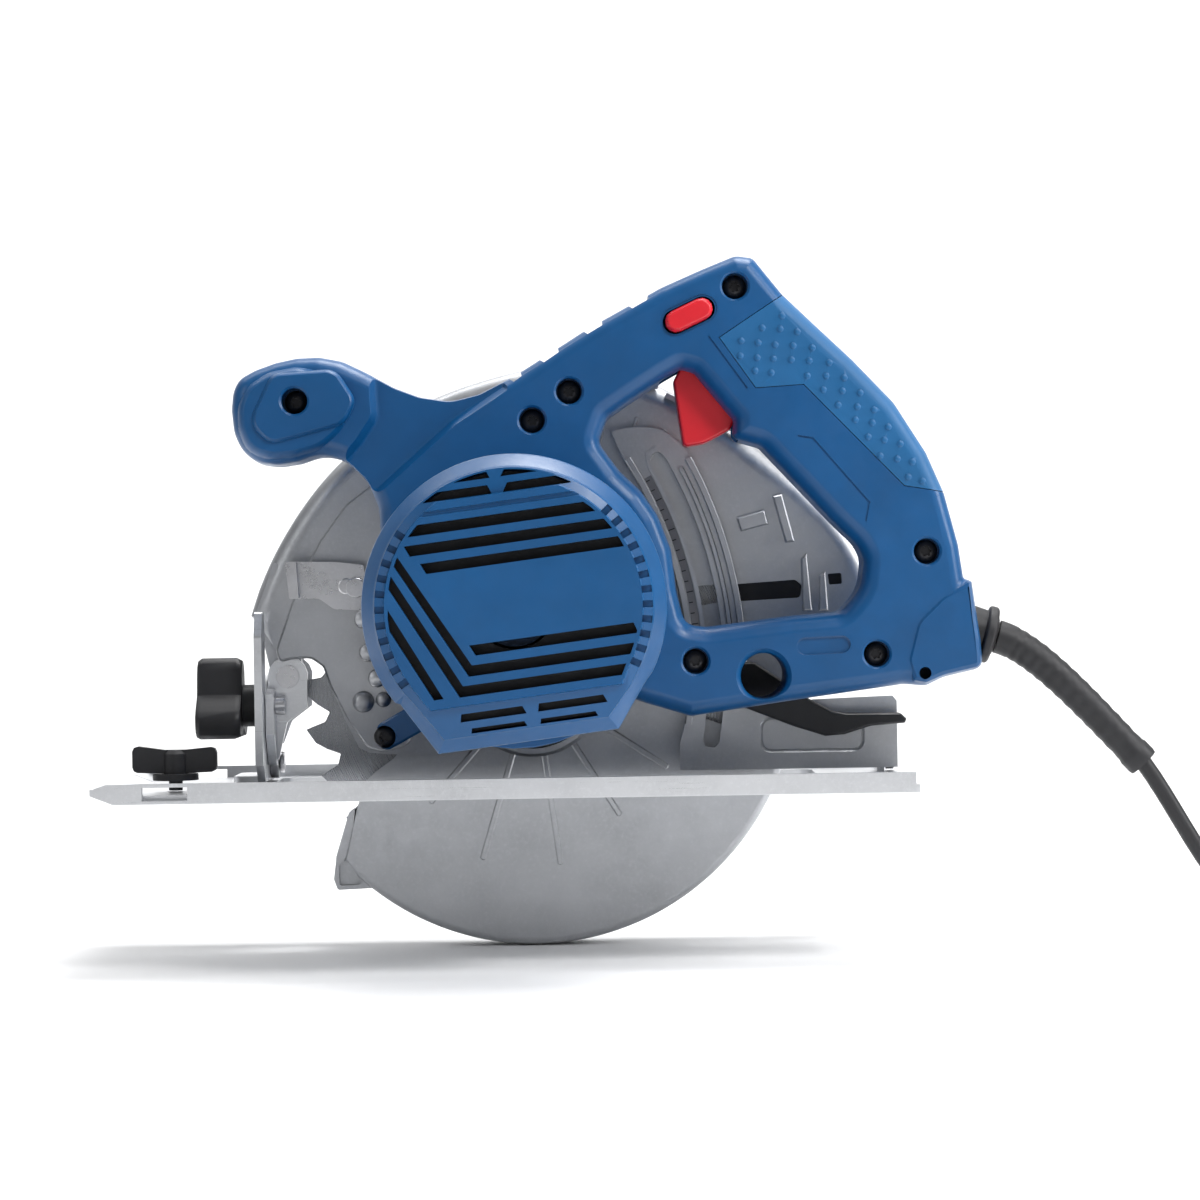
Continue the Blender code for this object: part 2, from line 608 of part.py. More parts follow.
# ---- spindle, gears and blade ---------------------------------------------------------------------
def gear_outline(teeth, cx, cy, rot, steps=3):
    """An involute spur gear, thinned for backlash, with straight root flanks below the base circle."""
    m, pa = GEAR_MODULE, math.radians(PRESSURE_ANGLE)
    rp = m * teeth / 2
    ra = rp + 1.0
    rb = rp * math.cos(pa)
    rr = rp - 1.25 * m
    half = math.pi / (2 * teeth) - TOOTH_THINNING / 2 / rp
    inv_p = math.tan(pa) - pa

    def flank(r):
        if r <= rb:
            return half + inv_p
        a = math.acos(rb / r)
        return half + inv_p - (math.tan(a) - a)

    low = max(rb, rr) + 0.15
    radii = [rr] + [low + (ra - low) * i / steps for i in range(steps + 1)] if steps else [rr, ra]
    pts = []
    for k in range(teeth):
        c = rot + 2 * math.pi * k / teeth
        for r in radii:
            pts.append((cx + r * math.cos(c - flank(r)), cy + r * math.sin(c - flank(r))))
        for r in radii[::-1]:
            pts.append((cx + r * math.cos(c + flank(r)), cy + r * math.sin(c + flank(r))))
    return pts


def build_spindle():
    profile = [(0, -1.6), (3.9, -1.6), (3.9, 4.6), (5.9, 5.0), (5.9, 17.6), (5.9, 38.4), (0, 38.4)]
    obj = lathe("spindle", profile, (0, 0), HEAD, n=20)
    add(obj, prism("blade_seat", [(-5.0, -3.6), (5.0, -3.6), (5.0, 3.6), (-5.0, 3.6)], 37.0, 46.6, HEAD))
    finish(obj, "plated_steel", True)
    # a gap of the wheel faces the pinion, so a tooth of the pinion points down at it
    wheel = prism("gear_wheel", gear_outline(GEAR_TEETH, 0, 0, math.pi / 2 + math.pi / GEAR_TEETH, 0), 6.0, 15.0, HEAD)
    cut(wheel, cylinder("wheel_bore", (0, 0), 6.1, 0.0, 20.0, HEAD, n=20))
    finish(wheel, "core_steel", False)
    ring = lathe("spindle_front_bearing", [(6.3, 20.0), (14.9, 20.0), (14.9, 27.8), (6.3, 27.8)], (0, 0), HEAD, n=24)
    finish(ring, "plated_steel", True)
    rear = lathe("spindle_rear_bearing", [(4.2, -2.2), (9.3, -2.2), (9.3, 3.6), (4.2, 3.6)], (0, 0), HEAD, n=20)
    finish(rear, "plated_steel", True)
    inner = lathe("inner_flange", [(6.3, 38.8), (12.0, 38.8), (21.0, 42.0), (21.0, 43.9), (6.3, 43.9)], (0, 0), HEAD, n=28)
    finish(inner, "plated_steel", True)
    outer = lathe("outer_flange", [(4.3, 46.9), (4.3, 48.6), (12.0, 49.6), (21.0, 48.0), (21.0, 46.2), (8.0, 46.2), (8.0, 46.9)], (0, 0), HEAD, n=28)
    finish(outer, "plated_steel", True)
    bolt = lathe("blade_bolt", [(0, 46.9), (3.6, 46.9), (3.6, 49.9), (9.5, 49.9), (9.5, 51.4), (0, 51.4)], (0, 0), HEAD, n=16)
    add(bolt, prism("bolt_hex", circle(0, 0, 7.4, 6), 51.0, 56.0, HEAD))
    finish(bolt, "plated_steel", False)


def build_blade():
    r = BLADE_R
    pts = []
    step = 360.0 / BLADE_TEETH
    # teeth lean clockwise as seen from the motor side
    for k in range(BLADE_TEETH):
        a = 180.0 + 4.0 - step * k
        for da, rr in ((0.0, r), (-1.0, r - 8.0), (-3.4, r - 10.4), (-5.8, r - 6.0), (-8.2, r - 2.4)):
            t = math.radians(a + da)
            pts.append((rr * math.cos(t), rr * math.sin(t)))
    obj = prism("saw_blade", pts, BLADE_Y - BLADE_T / 2, BLADE_Y + BLADE_T / 2, HEAD)
    cut(obj, prism("blade_bore", circle(0, 0, 8.0, 24), 40.0, 50.0, HEAD))
    finish(obj, "blade_steel", False)


def build_armature():
    c = (0.0, MOTOR_V)
    shaft = lathe("armature_shaft", [(0, -118.6), (3.9, -118.6), (3.9, -28.0), (3.9, 5.0), (5.2, 5.4), (5.2, 16.4), (0, 16.4)], c, HEAD, n=16)
    # the pinion is cut on the end of the shaft
    add(shaft, prism("pinion", gear_outline(PINION_TEETH, 0, MOTOR_V, -math.pi / 2, 2), 5.6, 15.8, HEAD))
    finish(shaft, "plated_steel", False)
    core = lathe("rotor_core", [(4.2, -76.0), (22.5, -76.0), (22.5, -33.0), (4.2, -33.0)], c, HEAD, n=24)
    finish(core, "core_steel", True)
    comm = lathe("commutator", [(4.2, -98.0), (13.0, -98.0), (13.0, -82.0), (4.2, -82.0)], c, HEAD, n=24)
    finish(comm, "copper", True)
    blades = []
    n = 12
    for k in range(n):
        a = 2 * math.pi * k / n
        ca, sa = math.cos(a), math.sin(a)
        blades.append(([(c[0] + x * ca - y * sa, c[1] + x * sa + y * ca) for x, y in ((16.0, -0.8), (40.0, -2.6), (40.0, -1.0), (16.0, 0.8))], -24.0, -11.0, HEAD, "Y"))
    fan = lathe("cooling_fan", [(4.2, -26.0), (41.0, -26.0), (41.0, -23.5), (9.0, -23.5), (9.0, -14.0), (4.2, -14.0)], c, HEAD, n=24)
    add(fan, many("fan_blades", blades))
    finish(fan, "grey_plastic", False)
    front = lathe("armature_front_bearing", [(4.2, -6.0), (11.0, -6.0), (11.0, 1.0), (4.2, 1.0)], c, HEAD, n=20)
    finish(front, "plated_steel", True)
    rear = lathe("armature_rear_bearing", [(4.2, -118.0), (11.0, -118.0), (11.0, -111.0), (4.2, -111.0)], c, HEAD, n=20)
    finish(rear, "plated_steel", True)


def build_motor():
    c = (0.0, MOTOR_V)
    housing = lathe("motor_housing", [(46.5, -7.4), (50.6, -7.4), (50.6, -104.4), (46.5, -104.4)], c, HEAD, n=40)
    finish(housing, "blue_plastic", True)
    stator = lathe("stator", [(23.6, -78.0), (43.0, -78.0), (43.0, -31.0), (23.6, -31.0)], c, HEAD, n=28)
    add(
        stator,
        many(
            "stator_lugs",
            [
                ([(-3.0, MOTOR_V + 42.0), (3.0, MOTOR_V + 42.0), (3.0, MOTOR_V + 45.9), (-3.0, MOTOR_V + 45.9)], -76.0, -33.0, HEAD, "Y"),
                ([(-3.0, MOTOR_V - 45.9), (3.0, MOTOR_V - 45.9), (3.0, MOTOR_V - 42.0), (-3.0, MOTOR_V - 42.0)], -76.0, -33.0, HEAD, "Y"),
            ],
        ),
    )
    finish(stator, "core_steel", False)
    for side, sign in (("left", -1), ("right", 1)):
        x0, x1 = sorted((sign * 14.2, sign * 44.5))
        box = [(x0, MOTOR_V - 6.5), (x1, MOTOR_V - 6.5), (x1, MOTOR_V + 6.5), (x0, MOTOR_V + 6.5)]
        holder = prism("brush_holder_" + side, box, -97.0, -83.0, HEAD)
        y0, y1 = sorted((sign * 10.0, sign * 42.0))
        cut(holder, prism("brush_way_" + side, [(y0, MOTOR_V - 4.3), (y1, MOTOR_V - 4.3), (y1, MOTOR_V + 4.3), (y0, MOTOR_V + 4.3)], -94.3, -85.7, HEAD))
        finish(holder, "brass", False)
        z0, z1 = sorted((sign * 13.4, sign * 30.0))
        brush = prism("carbon_brush_" + side, [(z0, MOTOR_V - 4.0), (z1, MOTOR_V - 4.0), (z1, MOTOR_V + 4.0), (z0, MOTOR_V + 4.0)], -94.0, -86.0, HEAD)
        finish(brush, "carbon", False)


def cap_outline(d=0.0):
    """Edge of the motor cap: a circle with the lower part cut to a flat between two straight sides."""
    r = 54.0 - d
    left = [(-44.6 + d, 1.5), (-33.6 + 0.6 * d, -17.8 + d)]
    right = [(30.6 - 0.6 * d, -17.8 + d), (41.5 - d, -3.5)]
    return arc(0.0, MOTOR_V, r, -33.0, 211.0, 30) + left + right


def build_motor_cap():
    full, face = cap_outline(), cap_outline(6.0)
    obj = loft("motor_cap", [(full, -104.9), (full, -121.0), (cap_outline(2.2), -127.0), (face, -130.0)], HEAD)
    room = loft("cap_room", [(cap_outline(3.0), -100.0), (cap_outline(3.0), -120.0), (cap_outline(6.5), -126.5)], HEAD)
    cut(obj, room)
    # bearing seat on the inside of the cap
    add(obj, lathe("cap_seat", [(11.3, -128.0), (14.2, -128.0), (14.2, -110.6), (11.3, -110.6)], (0.0, MOTOR_V), HEAD, n=24))
    slots = []

    def bar(x0, y0, x1, y1, h):
        slots.append(([(x0, y0 - h / 2), (x1, y1 - h / 2), (x1 - 1.2, y1 + h / 2), (x0 + 1.2, y0 + h / 2)], -135.0, -122.0, HEAD, "Y"))

    # long air slots, level with the head
    for v, x0, x1 in ((77.0, -19.0, 17.0), (70.5, -29.0, 25.0), (61.0, -37.0, 38.5), (54.2, -33.0, 40.5), (47.4, -28.0, 42.5)):
        bar(x0, v, x1, v, 3.6)
    for v, x0, x1 in ((16.8, -15.0, 42.5), (9.8, -18.0, 41.0), (3.0, -21.0, 38.0), (-5.0, -24.0, 27.0), (-11.0, -20.0, 22.0)):
        bar(x0, v, x1, v, 3.6)
    # slanting slots on the left
    for x0, y0, x1, y1 in ((-41.0, 50.0, -21.6, 9.0), (-44.0, 40.5, -25.6, 2.0), (-44.5, 24.5, -35.0, 4.0)):
        slots.append(([(x0 - 1.8, y0), (x1 - 1.8, y1), (x1 + 1.8, y1), (x0 + 1.8, y0)], -135.0, -122.0, HEAD, "Y"))
    cut(obj, many("cap_slots", slots))
    finish(obj, "blue_plastic", False)


# ---- handle ------------------------------------------------------------------------------------------
BODY_POINTS = [
        (58.0, -20.2, 4), (100.0, -19.6), (139.0, -19.4), (147.0, -21.2, 4), (154.0, -18.9), (169.6, -17.4, 4), (170.2, -6.0), (169.7, 16.2, 2),
        (167.0, 17.0), (166.8, 30.0), (164.2, 50.0), (159.6, 66.0), (150.2, 86.3), (137.0, 104.4), (124.0, 120.4), (114.4, 132.4),
        (105.2, 147.6, 4), (98.6, 149.4, 6), (85.4, 146.0), (69.4, 141.4), (40.0, 130.0), (10.6, 116.4), (-4.0, 111.2), (-15.0, 110.0), (-26.0, 113.2),
        (-35.0, 118.0), (-44.5, 125.0), (-53.0, 130.6), (-61.5, 133.4), (-70.0, 134.2), (-78.0, 133.6), (-86.0, 131.9), (-92.5, 129.4), (-95.6, 125.0),
        (-97.2, 118.0), (-97.4, 109.0), (-95.2, 102.0), (-90.0, 96.6), (-83.0, 94.9), (-75.0, 95.1), (-66.5, 96.8), (-57.5, 93.8),
        (-50.0, 84.0), (-47.4, 73.5), (-48.5, 61.0), (-53.0, 48.0), (-54.6, 36.0), (42.0, -13.0),
]

OPENING_POINTS = [
        (37.8, 87.0, 5), (44.2, 75.2), (51.4, 66.2), (56.4, 56.2), (59.4, 43.0), (59.2, 27.0), (60.6, 14.4, 8), (69.0, 12.2), (101.0, 12.0),
        (119.5, 11.0, 6), (128.0, 19.0), (130.6, 29.5), (129.0, 35.0), (120.8, 45.4), (108.2, 63.0), (98.2, 77.0, 5),
        (88.0, 81.4, 3), (89.4, 88.0, 2), (77.2, 107.6, 2), (72.5, 109.8, 3), (66.0, 107.2), (52.0, 100.6), (42.5, 95.8, 4),
]

GRIP_REGION = [(88.0, 119.2), (99.0, 98.4), (117.0, 97.2), (149.0, 54.4), (163.9, 50.0), (176.0, 62.0), (140.0, 130.0), (114.6, 132.2)]

SCREWS = {
    "handle_screw_knob": (-72.3, 117.5, -39.0),
    "handle_screw_front": (14.5, 98.3, -35.0),
    "handle_screw_beam": (29.7, 107.1, -35.0),
    "handle_screw_top": (96.7, 137.4, -34.0),
    "handle_screw_rear": (154.0, 29.1, -34.0),
    "handle_screw_low_front": (62.6, 0.4, -35.0),
    "handle_screw_low_rear": (130.1, -6.4, -34.0),
}


def shell_solid(name, near):
    """One half of the handle moulding before it is hollowed."""
    s = -1 if near else 1
    y = lambda d: SPLIT_Y + s * d
    rings = [(shrunk(BODY_POINTS, 0.0), y(0.15)), (shrunk(BODY_POINTS, 0.4), y(13.0)), (shrunk(BODY_POINTS, 4.2), y(20.0))]
    return loft(name, rings, HEAD)


def grip_shapes(name, near, gap):
    """The volume of the soft pad: the region of the handle outside a 3 mm deep core."""
    s = -1 if near else 1
    y = lambda d: SPLIT_Y + s * d
    region = prism(name + "_region", inset(GRIP_REGION, gap), y(0.1 + gap), y(30.0), HEAD)
    core_outline = shrunk(BODY_POINTS, 3.0 - gap)
    core = loft(name + "_core", [(core_outline, y(-3.0)), (core_outline, y(11.0 - gap)), (shrunk(BODY_POINTS, 5.2 - gap), y(17.2 + gap))], HEAD)
    return region, core


def knob_ring(k):
    c = (-71.0, 114.5)
    pts = [(-95.6, 110.0), (-93.5, 101.5), (-86.5, 97.2), (-76.0, 96.6), (-64.0, 98.5), (-55.5, 104.0), (-51.5, 112.0), (-54.0, 121.0), (-60.5, 128.0), (-70.0, 131.0), (-81.0, 130.4), (-90.0, 126.4), (-94.8, 119.0)]
    return [(c[0] + (p[0] - c[0]) * k, c[1] + (p[1] - c[1]) * k) for p in pts]


def build_shell(near):
    s = -1 if near else 1
    name = "handle_shell_near" if near else "handle_shell_far"
    tag = "n" if near else "f"
    y = lambda d: SPLIT_Y + s * d
    obj = shell_solid(name, near)
    knob = loft("knob_" + tag, [(knob_ring(1.0), y(2.0)), (knob_ring(1.0), y(18.0)), (knob_ring(0.86), y(23.4)), (knob_ring(0.74), y(25.0))], HEAD)
    add(obj, knob)
    opening = loft("opening_" + tag, [(shrunk(OPENING_POINTS, 0.0), y(-2.0)), (shrunk(OPENING_POINTS, 0.0), y(11.0)), (shrunk(OPENING_POINTS, -1.6), y(15.5)), (shrunk(OPENING_POINTS, -6.2), y(21.0))], HEAD)
    motor = cylinder("motor_hole_" + tag, (0, MOTOR_V), 51.2, y(-3.0), y(24.0), HEAD, n=36)
    cut(obj, opening, motor)
    # hollow inside, with round posts left for the screws
    pocket = prism("pocket_" + tag, shrunk(BODY_POINTS, 6.2), y(-2.0), y(14.4), HEAD)
    keep = [(shrunk(OPENING_POINTS, -3.4), y(-4.0), y(24.0), HEAD, "Y"), (circle(0, MOTOR_V, 54.6, 36), y(-4.0), y(24.0), HEAD, "Y")]
    for o in keep:
        cut(pocket, prism("keep_%s_%d" % (tag, len(o[0])), o[0], o[1], o[2], o[3]))
    posts = [(circle(u, v, 6.9, 10, 13.0), y(-4.0), y(24.0), HEAD, "Y") for k, (u, v, d) in SCREWS.items() if k != "handle_screw_front"]
    posts.append((circle(87.1, -8.7, 11.6, 16), y(-4.0), y(24.0), HEAD, "Y"))
    posts.append((circle(14.5, 98.3, 6.9, 10, 13.0), y(-4.0), y(24.0), HEAD, "Y"))
    cut(pocket, many("posts_" + tag, posts))
    cut(obj, pocket)
    holes = []
    for k, (u, v, d) in SCREWS.items():
        if near:
            holes.append((circle(u, v, 4.9, 12), y(13.0), y(30.0), HEAD, "Y"))
            holes.append((circle(u, v, 2.3, 8), y(-3.0), y(14.0), HEAD, "Y"))
        else:
            holes.append((circle(u, v, 2.3, 8), y(-3.0), y(13.0), HEAD, "Y"))
    cut(obj, many("screw_holes_" + tag, holes[1::2] if near else holes))
    if near:
        cut(obj, many("screw_recess_" + tag, holes[::2]))
        cut(obj, prism("button_hole", slot(72.6, 127.2, 83.6, 130.7, 4.6), y(10.0), y(30.0), HEAD))
        cut(obj, prism("label_recess", slot(104.0, 0.2, 117.6, -1.0, 3.4), y(19.3), y(30.0), HEAD))
    # hole that shows the depth scale behind
    cut(obj, cylinder("sight_hole_" + tag, (87.1, -8.7), 8.6, y(-4.0), y(30.0), HEAD, n=18))
    # slot for the trigger
    cut(obj, prism("trigger_slot_" + tag, [(64.0, 100.0), (64.0, 117.0), (98.0, 119.0), (107.0, 100.0), (101.5, 84.5), (84.0, 78.0)], y(-3.0), y(8.6), HEAD))
    region, core = grip_shapes("grip_cut_" + tag, near, 0.0)
    cut(region, core)
    cut(obj, region)
    # way out for the lead
    cut(obj, cylinder("gland_way_" + tag, (0, 0), 8.4, -20.0, 12.0, GLAND, axis="X", n=18))
    cut(obj, cylinder("gland_seat_" + tag, (0, 0), 11.2, -5.0, 20.0, GLAND, axis="X", n=18))
    finish(obj, "blue_plastic", False)


def build_grip_pad(near):
    name = "grip_pad_near" if near else "grip_pad_far"
    obj = shell_solid(name, near)
    region, core = grip_shapes(name, near, 0.25)
    combine(obj, region, "INTERSECT")
    # the core of the pad sits a little above the core of the shell
    s = -1 if near else 1
    y = lambda d: SPLIT_Y + s * d
    core2_outline = shrunk(BODY_POINTS, 2.75)
    core2 = loft(name + "_core2", [(core2_outline, y(-3.0)), (core2_outline, y(11.25)), (shrunk(BODY_POINTS, 4.95), y(17.45))], HEAD)
    bpy.data.objects.remove(core, do_unlink=True)
    cut(obj, core2)
    finish(obj, "blue_soft_grip", False)


def build_handle_screws():
    for name, (u, v, d) in SCREWS.items():
        y0 = SPLIT_Y - 13.2
        profile = [(0, y0 - 2.6), (4.4, y0 - 2.2), (4.4, y0), (2.0, y0), (2.0, SPLIT_Y + 12.0), (0, SPLIT_Y + 12.0)]
        obj = lathe(name, profile, (u, v), HEAD, n=10)
        finish(obj, "plated_steel", True)


def build_switch_and_trigger():
    # body of the on-off switch, lying along the grip
    dx, dy = 0.6, -0.8
    c = (107.5, 107.0)
    nx, ny = 0.8, 0.6
    box = [(c[0] + a * dx + b * nx, c[1] + a * dy + b * ny) for a, b in ((-16, -7.5), (16, -7.5), (16, 9.5), (-16, 9.5))]
    obj = prism("switch_body", box, SPLIT_Y - 11.5, SPLIT_Y + 11.5, HEAD)
    finish(obj, "black_plastic", False)
    trig = [(69.2, 106.0, 2), (73.0, 111.6, 3), (78.0, 110.2, 2), (89.0, 99.0), (93.0, 92.0, 2), (88.0, 85.0, 2), (78.0, 81.2), (69.4, 80.8, 2)]
    mid, edge = shrunk(trig, 0.0), shrunk(trig, 1.4)
    t = loft("trigger", [(edge, SPLIT_Y - 8.0), (mid, SPLIT_Y - 6.4), (mid, SPLIT_Y + 6.4), (edge, SPLIT_Y + 8.0)], HEAD, (74.0, SPLIT_Y, 107.5))
    cut(t, cylinder("trigger_bore", (74.0, 107.5), 2.1, SPLIT_Y - 12.0, SPLIT_Y + 12.0, HEAD, n=12))
    finish(t, "red_plastic", False)
    b = loft("lock_off_button", [(slot(73.2, 127.4, 83.0, 130.5, 3.2), SPLIT_Y - 22.6), (slot(73.0, 127.3, 83.2, 130.6, 4.1), SPLIT_Y - 21.2), (slot(73.0, 127.3, 83.2, 130.6, 4.1), SPLIT_Y - 12.8)], HEAD, (78.1, SPLIT_Y - 18.0, 129.0))
    finish(b, "red_plastic", True)


# ---- depth clamp -------------------------------------------------------------------------------------
CLAMP_X, CLAMP_Z = polar(SLOT_R, CLAMP_ANGLE)
CLAMP_U, CLAMP_V = world_to_head(CLAMP_X, CLAMP_Z)


def build_depth_clamp():
    profile = [(0, 6.6), (3.0, 6.6), (3.0, 27.9), (0, 27.9)]
    bolt = lathe("depth_clamp_bolt", profile, (CLAMP_U, CLAMP_V), HEAD, n=14)
    finish(bolt, "plated_steel", True)
    u, v = CLAMP_U, CLAMP_V
    shape = [
        (u - 6.0, v + 8.5, 4), (u + 4.0, v + 10.0, 4), (86.0, -4.0), (96.0, -12.8), (105.0, -21.0), (113.0, -26.6), (118.0, -28.4), (139.0, -31.2, 1), (142.4, -35.4, 1),
        (127.0, -34.6), (116.3, -36.4), (109.0, -36.0), (97.5, -30.6), (80.0, -21.0), (u - 8.0, v - 8.0, 4),
    ]
    small, whole = shrunk(shape, 0.7), shrunk(shape, 0.0)
    lever = loft("depth_lever", [(small, 7.4), (whole, 8.4), (whole, 17.6), (small, 18.6)], HEAD, (u, 13.0, v))
    cut(lever, cylinder("lever_bore", (u, v), 3.3, 5.0, 25.0, HEAD, n=14))
    finish(lever, "black_plastic", False)


# ---- lower guard ---------------------------------------------------------------------------------------
def build_lower_guard():
    a0, a1 = 198.0, 338.0
    n = 24
    r = GUARD_R

    def sector(r_out):
        return arc(0, 0, r_out, 215.6, a1, n) + [(24.0, -4.0), (22.0, 8.0), (-14.0, 20.0), (-26.0, 6.0), (-58.3, -22.0), (-70.0, -29.0), (-75.0, -38.6)]

    obj = loft("lower_guard", [(sector(r - 3.0), 32.4), (sector(r), 35.4), (sector(r), 54.6), (sector(r - 3.0), 57.4)], HEAD)
    inner = arc(0, 0, r - 1.9, a0 - 12, a1 + 12, n) + [(60.0, 40.0), (-60.0, 40.0)]
    inner_small = arc(0, 0, r - 4.4, a0 - 12, a1 + 12, n) + [(60.0, 40.0), (-60.0, 40.0)]
    cut(obj, loft("guard_hollow", [(inner_small, 34.2), (inner, 36.6), (inner, 53.6), (inner_small, 55.6)], HEAD))
    # the blade side keeps only a band along the rim
    open_side = arc(0, 0, r - 26.0, a0 - 14, a1 + 14, n) + [(60.0, 60.0), (-60.0, 60.0)]
    cut(obj, prism("guard_open_side", open_side, 55.0, 62.0, HEAD))
    hub = lathe("guard_hub", [(21.6, 32.4), (26.0, 32.4), (26.0, 36.4), (21.6, 36.4)], (0, 0), HEAD, n=32)
    cut(obj, cylinder("guard_bore", (0, 0), 21.6, 28.0, 35.0, HEAD, n=32))
    add(obj, hub)
    # toe that rides up on the work
    toe = fillet([(-84.0, -56.0), (-86.3, -57.3), (-88.6, -66.0), (-87.6, -70.4), (-76.0, -71.4), (-70.0, -72.0), (-74.0, -66.0)], 1.0, 2)
    add(obj, prism("guard_toe", toe, 36.0, 54.0, HEAD))
    # flange down the front edge, on the near side of the blade
    flange = [(-76.0, -38.8), (-78.9, -40.8), (-86.3, -57.3), (-86.6, -59.0), (-81.0, -58.0)]
    add(obj, prism("guard_flange", flange, 33.6, 43.0, HEAD))
    finish(obj, "cast_aluminium", True)


def build_guard_spring():
    """Torsion spring about the nose that closes the lower guard."""
    turns, n, sides, wire, radius = 2.5, 16, 5, 0.55, 28.5
    count = int(turns * n)
    verts, faces = [], []
    for i in range(count + 1):
        t = 2 * math.pi * i / n
        y = 35.8 + 1.25 * i / n
        for k in range(sides):
            a = 2 * math.pi * k / sides
            rr = radius + wire * math.cos(a)
            verts.append((rr * math.cos(t), y + wire * math.sin(a), rr * math.sin(t)))
    for i in range(count):
        for k in range(sides):
            j = (k + 1) % sides
            faces.append((i * sides + k, i * sides + j, (i + 1) * sides + j, (i + 1) * sides + k))
    faces.append(tuple(range(sides)))
    faces.append(tuple(range(count * sides, (count + 1) * sides)))
    obj = new_object("guard_spring", verts, faces, HEAD)
    finish(obj, "plated_steel", True)


# ---- cable ---------------------------------------------------------------------------------------------
def tube(name, points, radius, kind, resolution):
    """A round rubber lead along a hand-set line of points, in world millimetres."""
    curve = bpy.data.curves.new(name, "CURVE")
    curve.dimensions = "3D"
    curve.use_fill_caps = True
    curve.bevel_depth = radius * MM
    curve.bevel_resolution = resolution
    spline = curve.splines.new("POLY")
    spline.points.add(len(points) - 1)
    for point, p in zip(spline.points, points):
        point.co = (p[0] * MM, p[1] * MM, p[2] * MM, 1)
    obj = bpy.data.objects.new(name, curve)
    bpy.context.scene.collection.objects.link(obj)
    red, green, blue, metallic, roughness = COLOURS[kind]
    mat = bpy.data.materials.new(name + "_" + kind)
    mat.use_nodes = True
    shader = mat.node_tree.nodes["Principled BSDF"]
    shader.inputs["Base Color"].default_value = (red, green, blue, 1)
    shader.inputs["Roughness"].default_value = roughness
    curve.materials.append(mat)
    return obj


def bezier(p0, p1, p2, p3, n):
    out = []
    for i in range(n + 1):
        t = i / n
        out.append(tuple((1 - t) ** 3 * a + 3 * (1 - t) ** 2 * t * b + 3 * (1 - t) * t * t * c + t ** 3 * d for a, b, c, d in zip(p0, p1, p2, p3)))
    return out


FLOOR_Z = -62.9
COIL_X, COIL_Y = 328.0, 31.0
COIL_MID_R, COIL_TURN_GAP = 36.0, 6.6
COIL_HALF_WIDTH, COIL_HEIGHT = 13.2, 26.6
PLUG_X, PLUG_Y = 378.0, 118.0


def sleeve_line():
    return bezier((186.2, SPLIT_Y, 55.7), (201.5, SPLIT_Y, 51.5), (222.0, SPLIT_Y, 27.0), (241.0, SPLIT_Y, 7.0), 7)


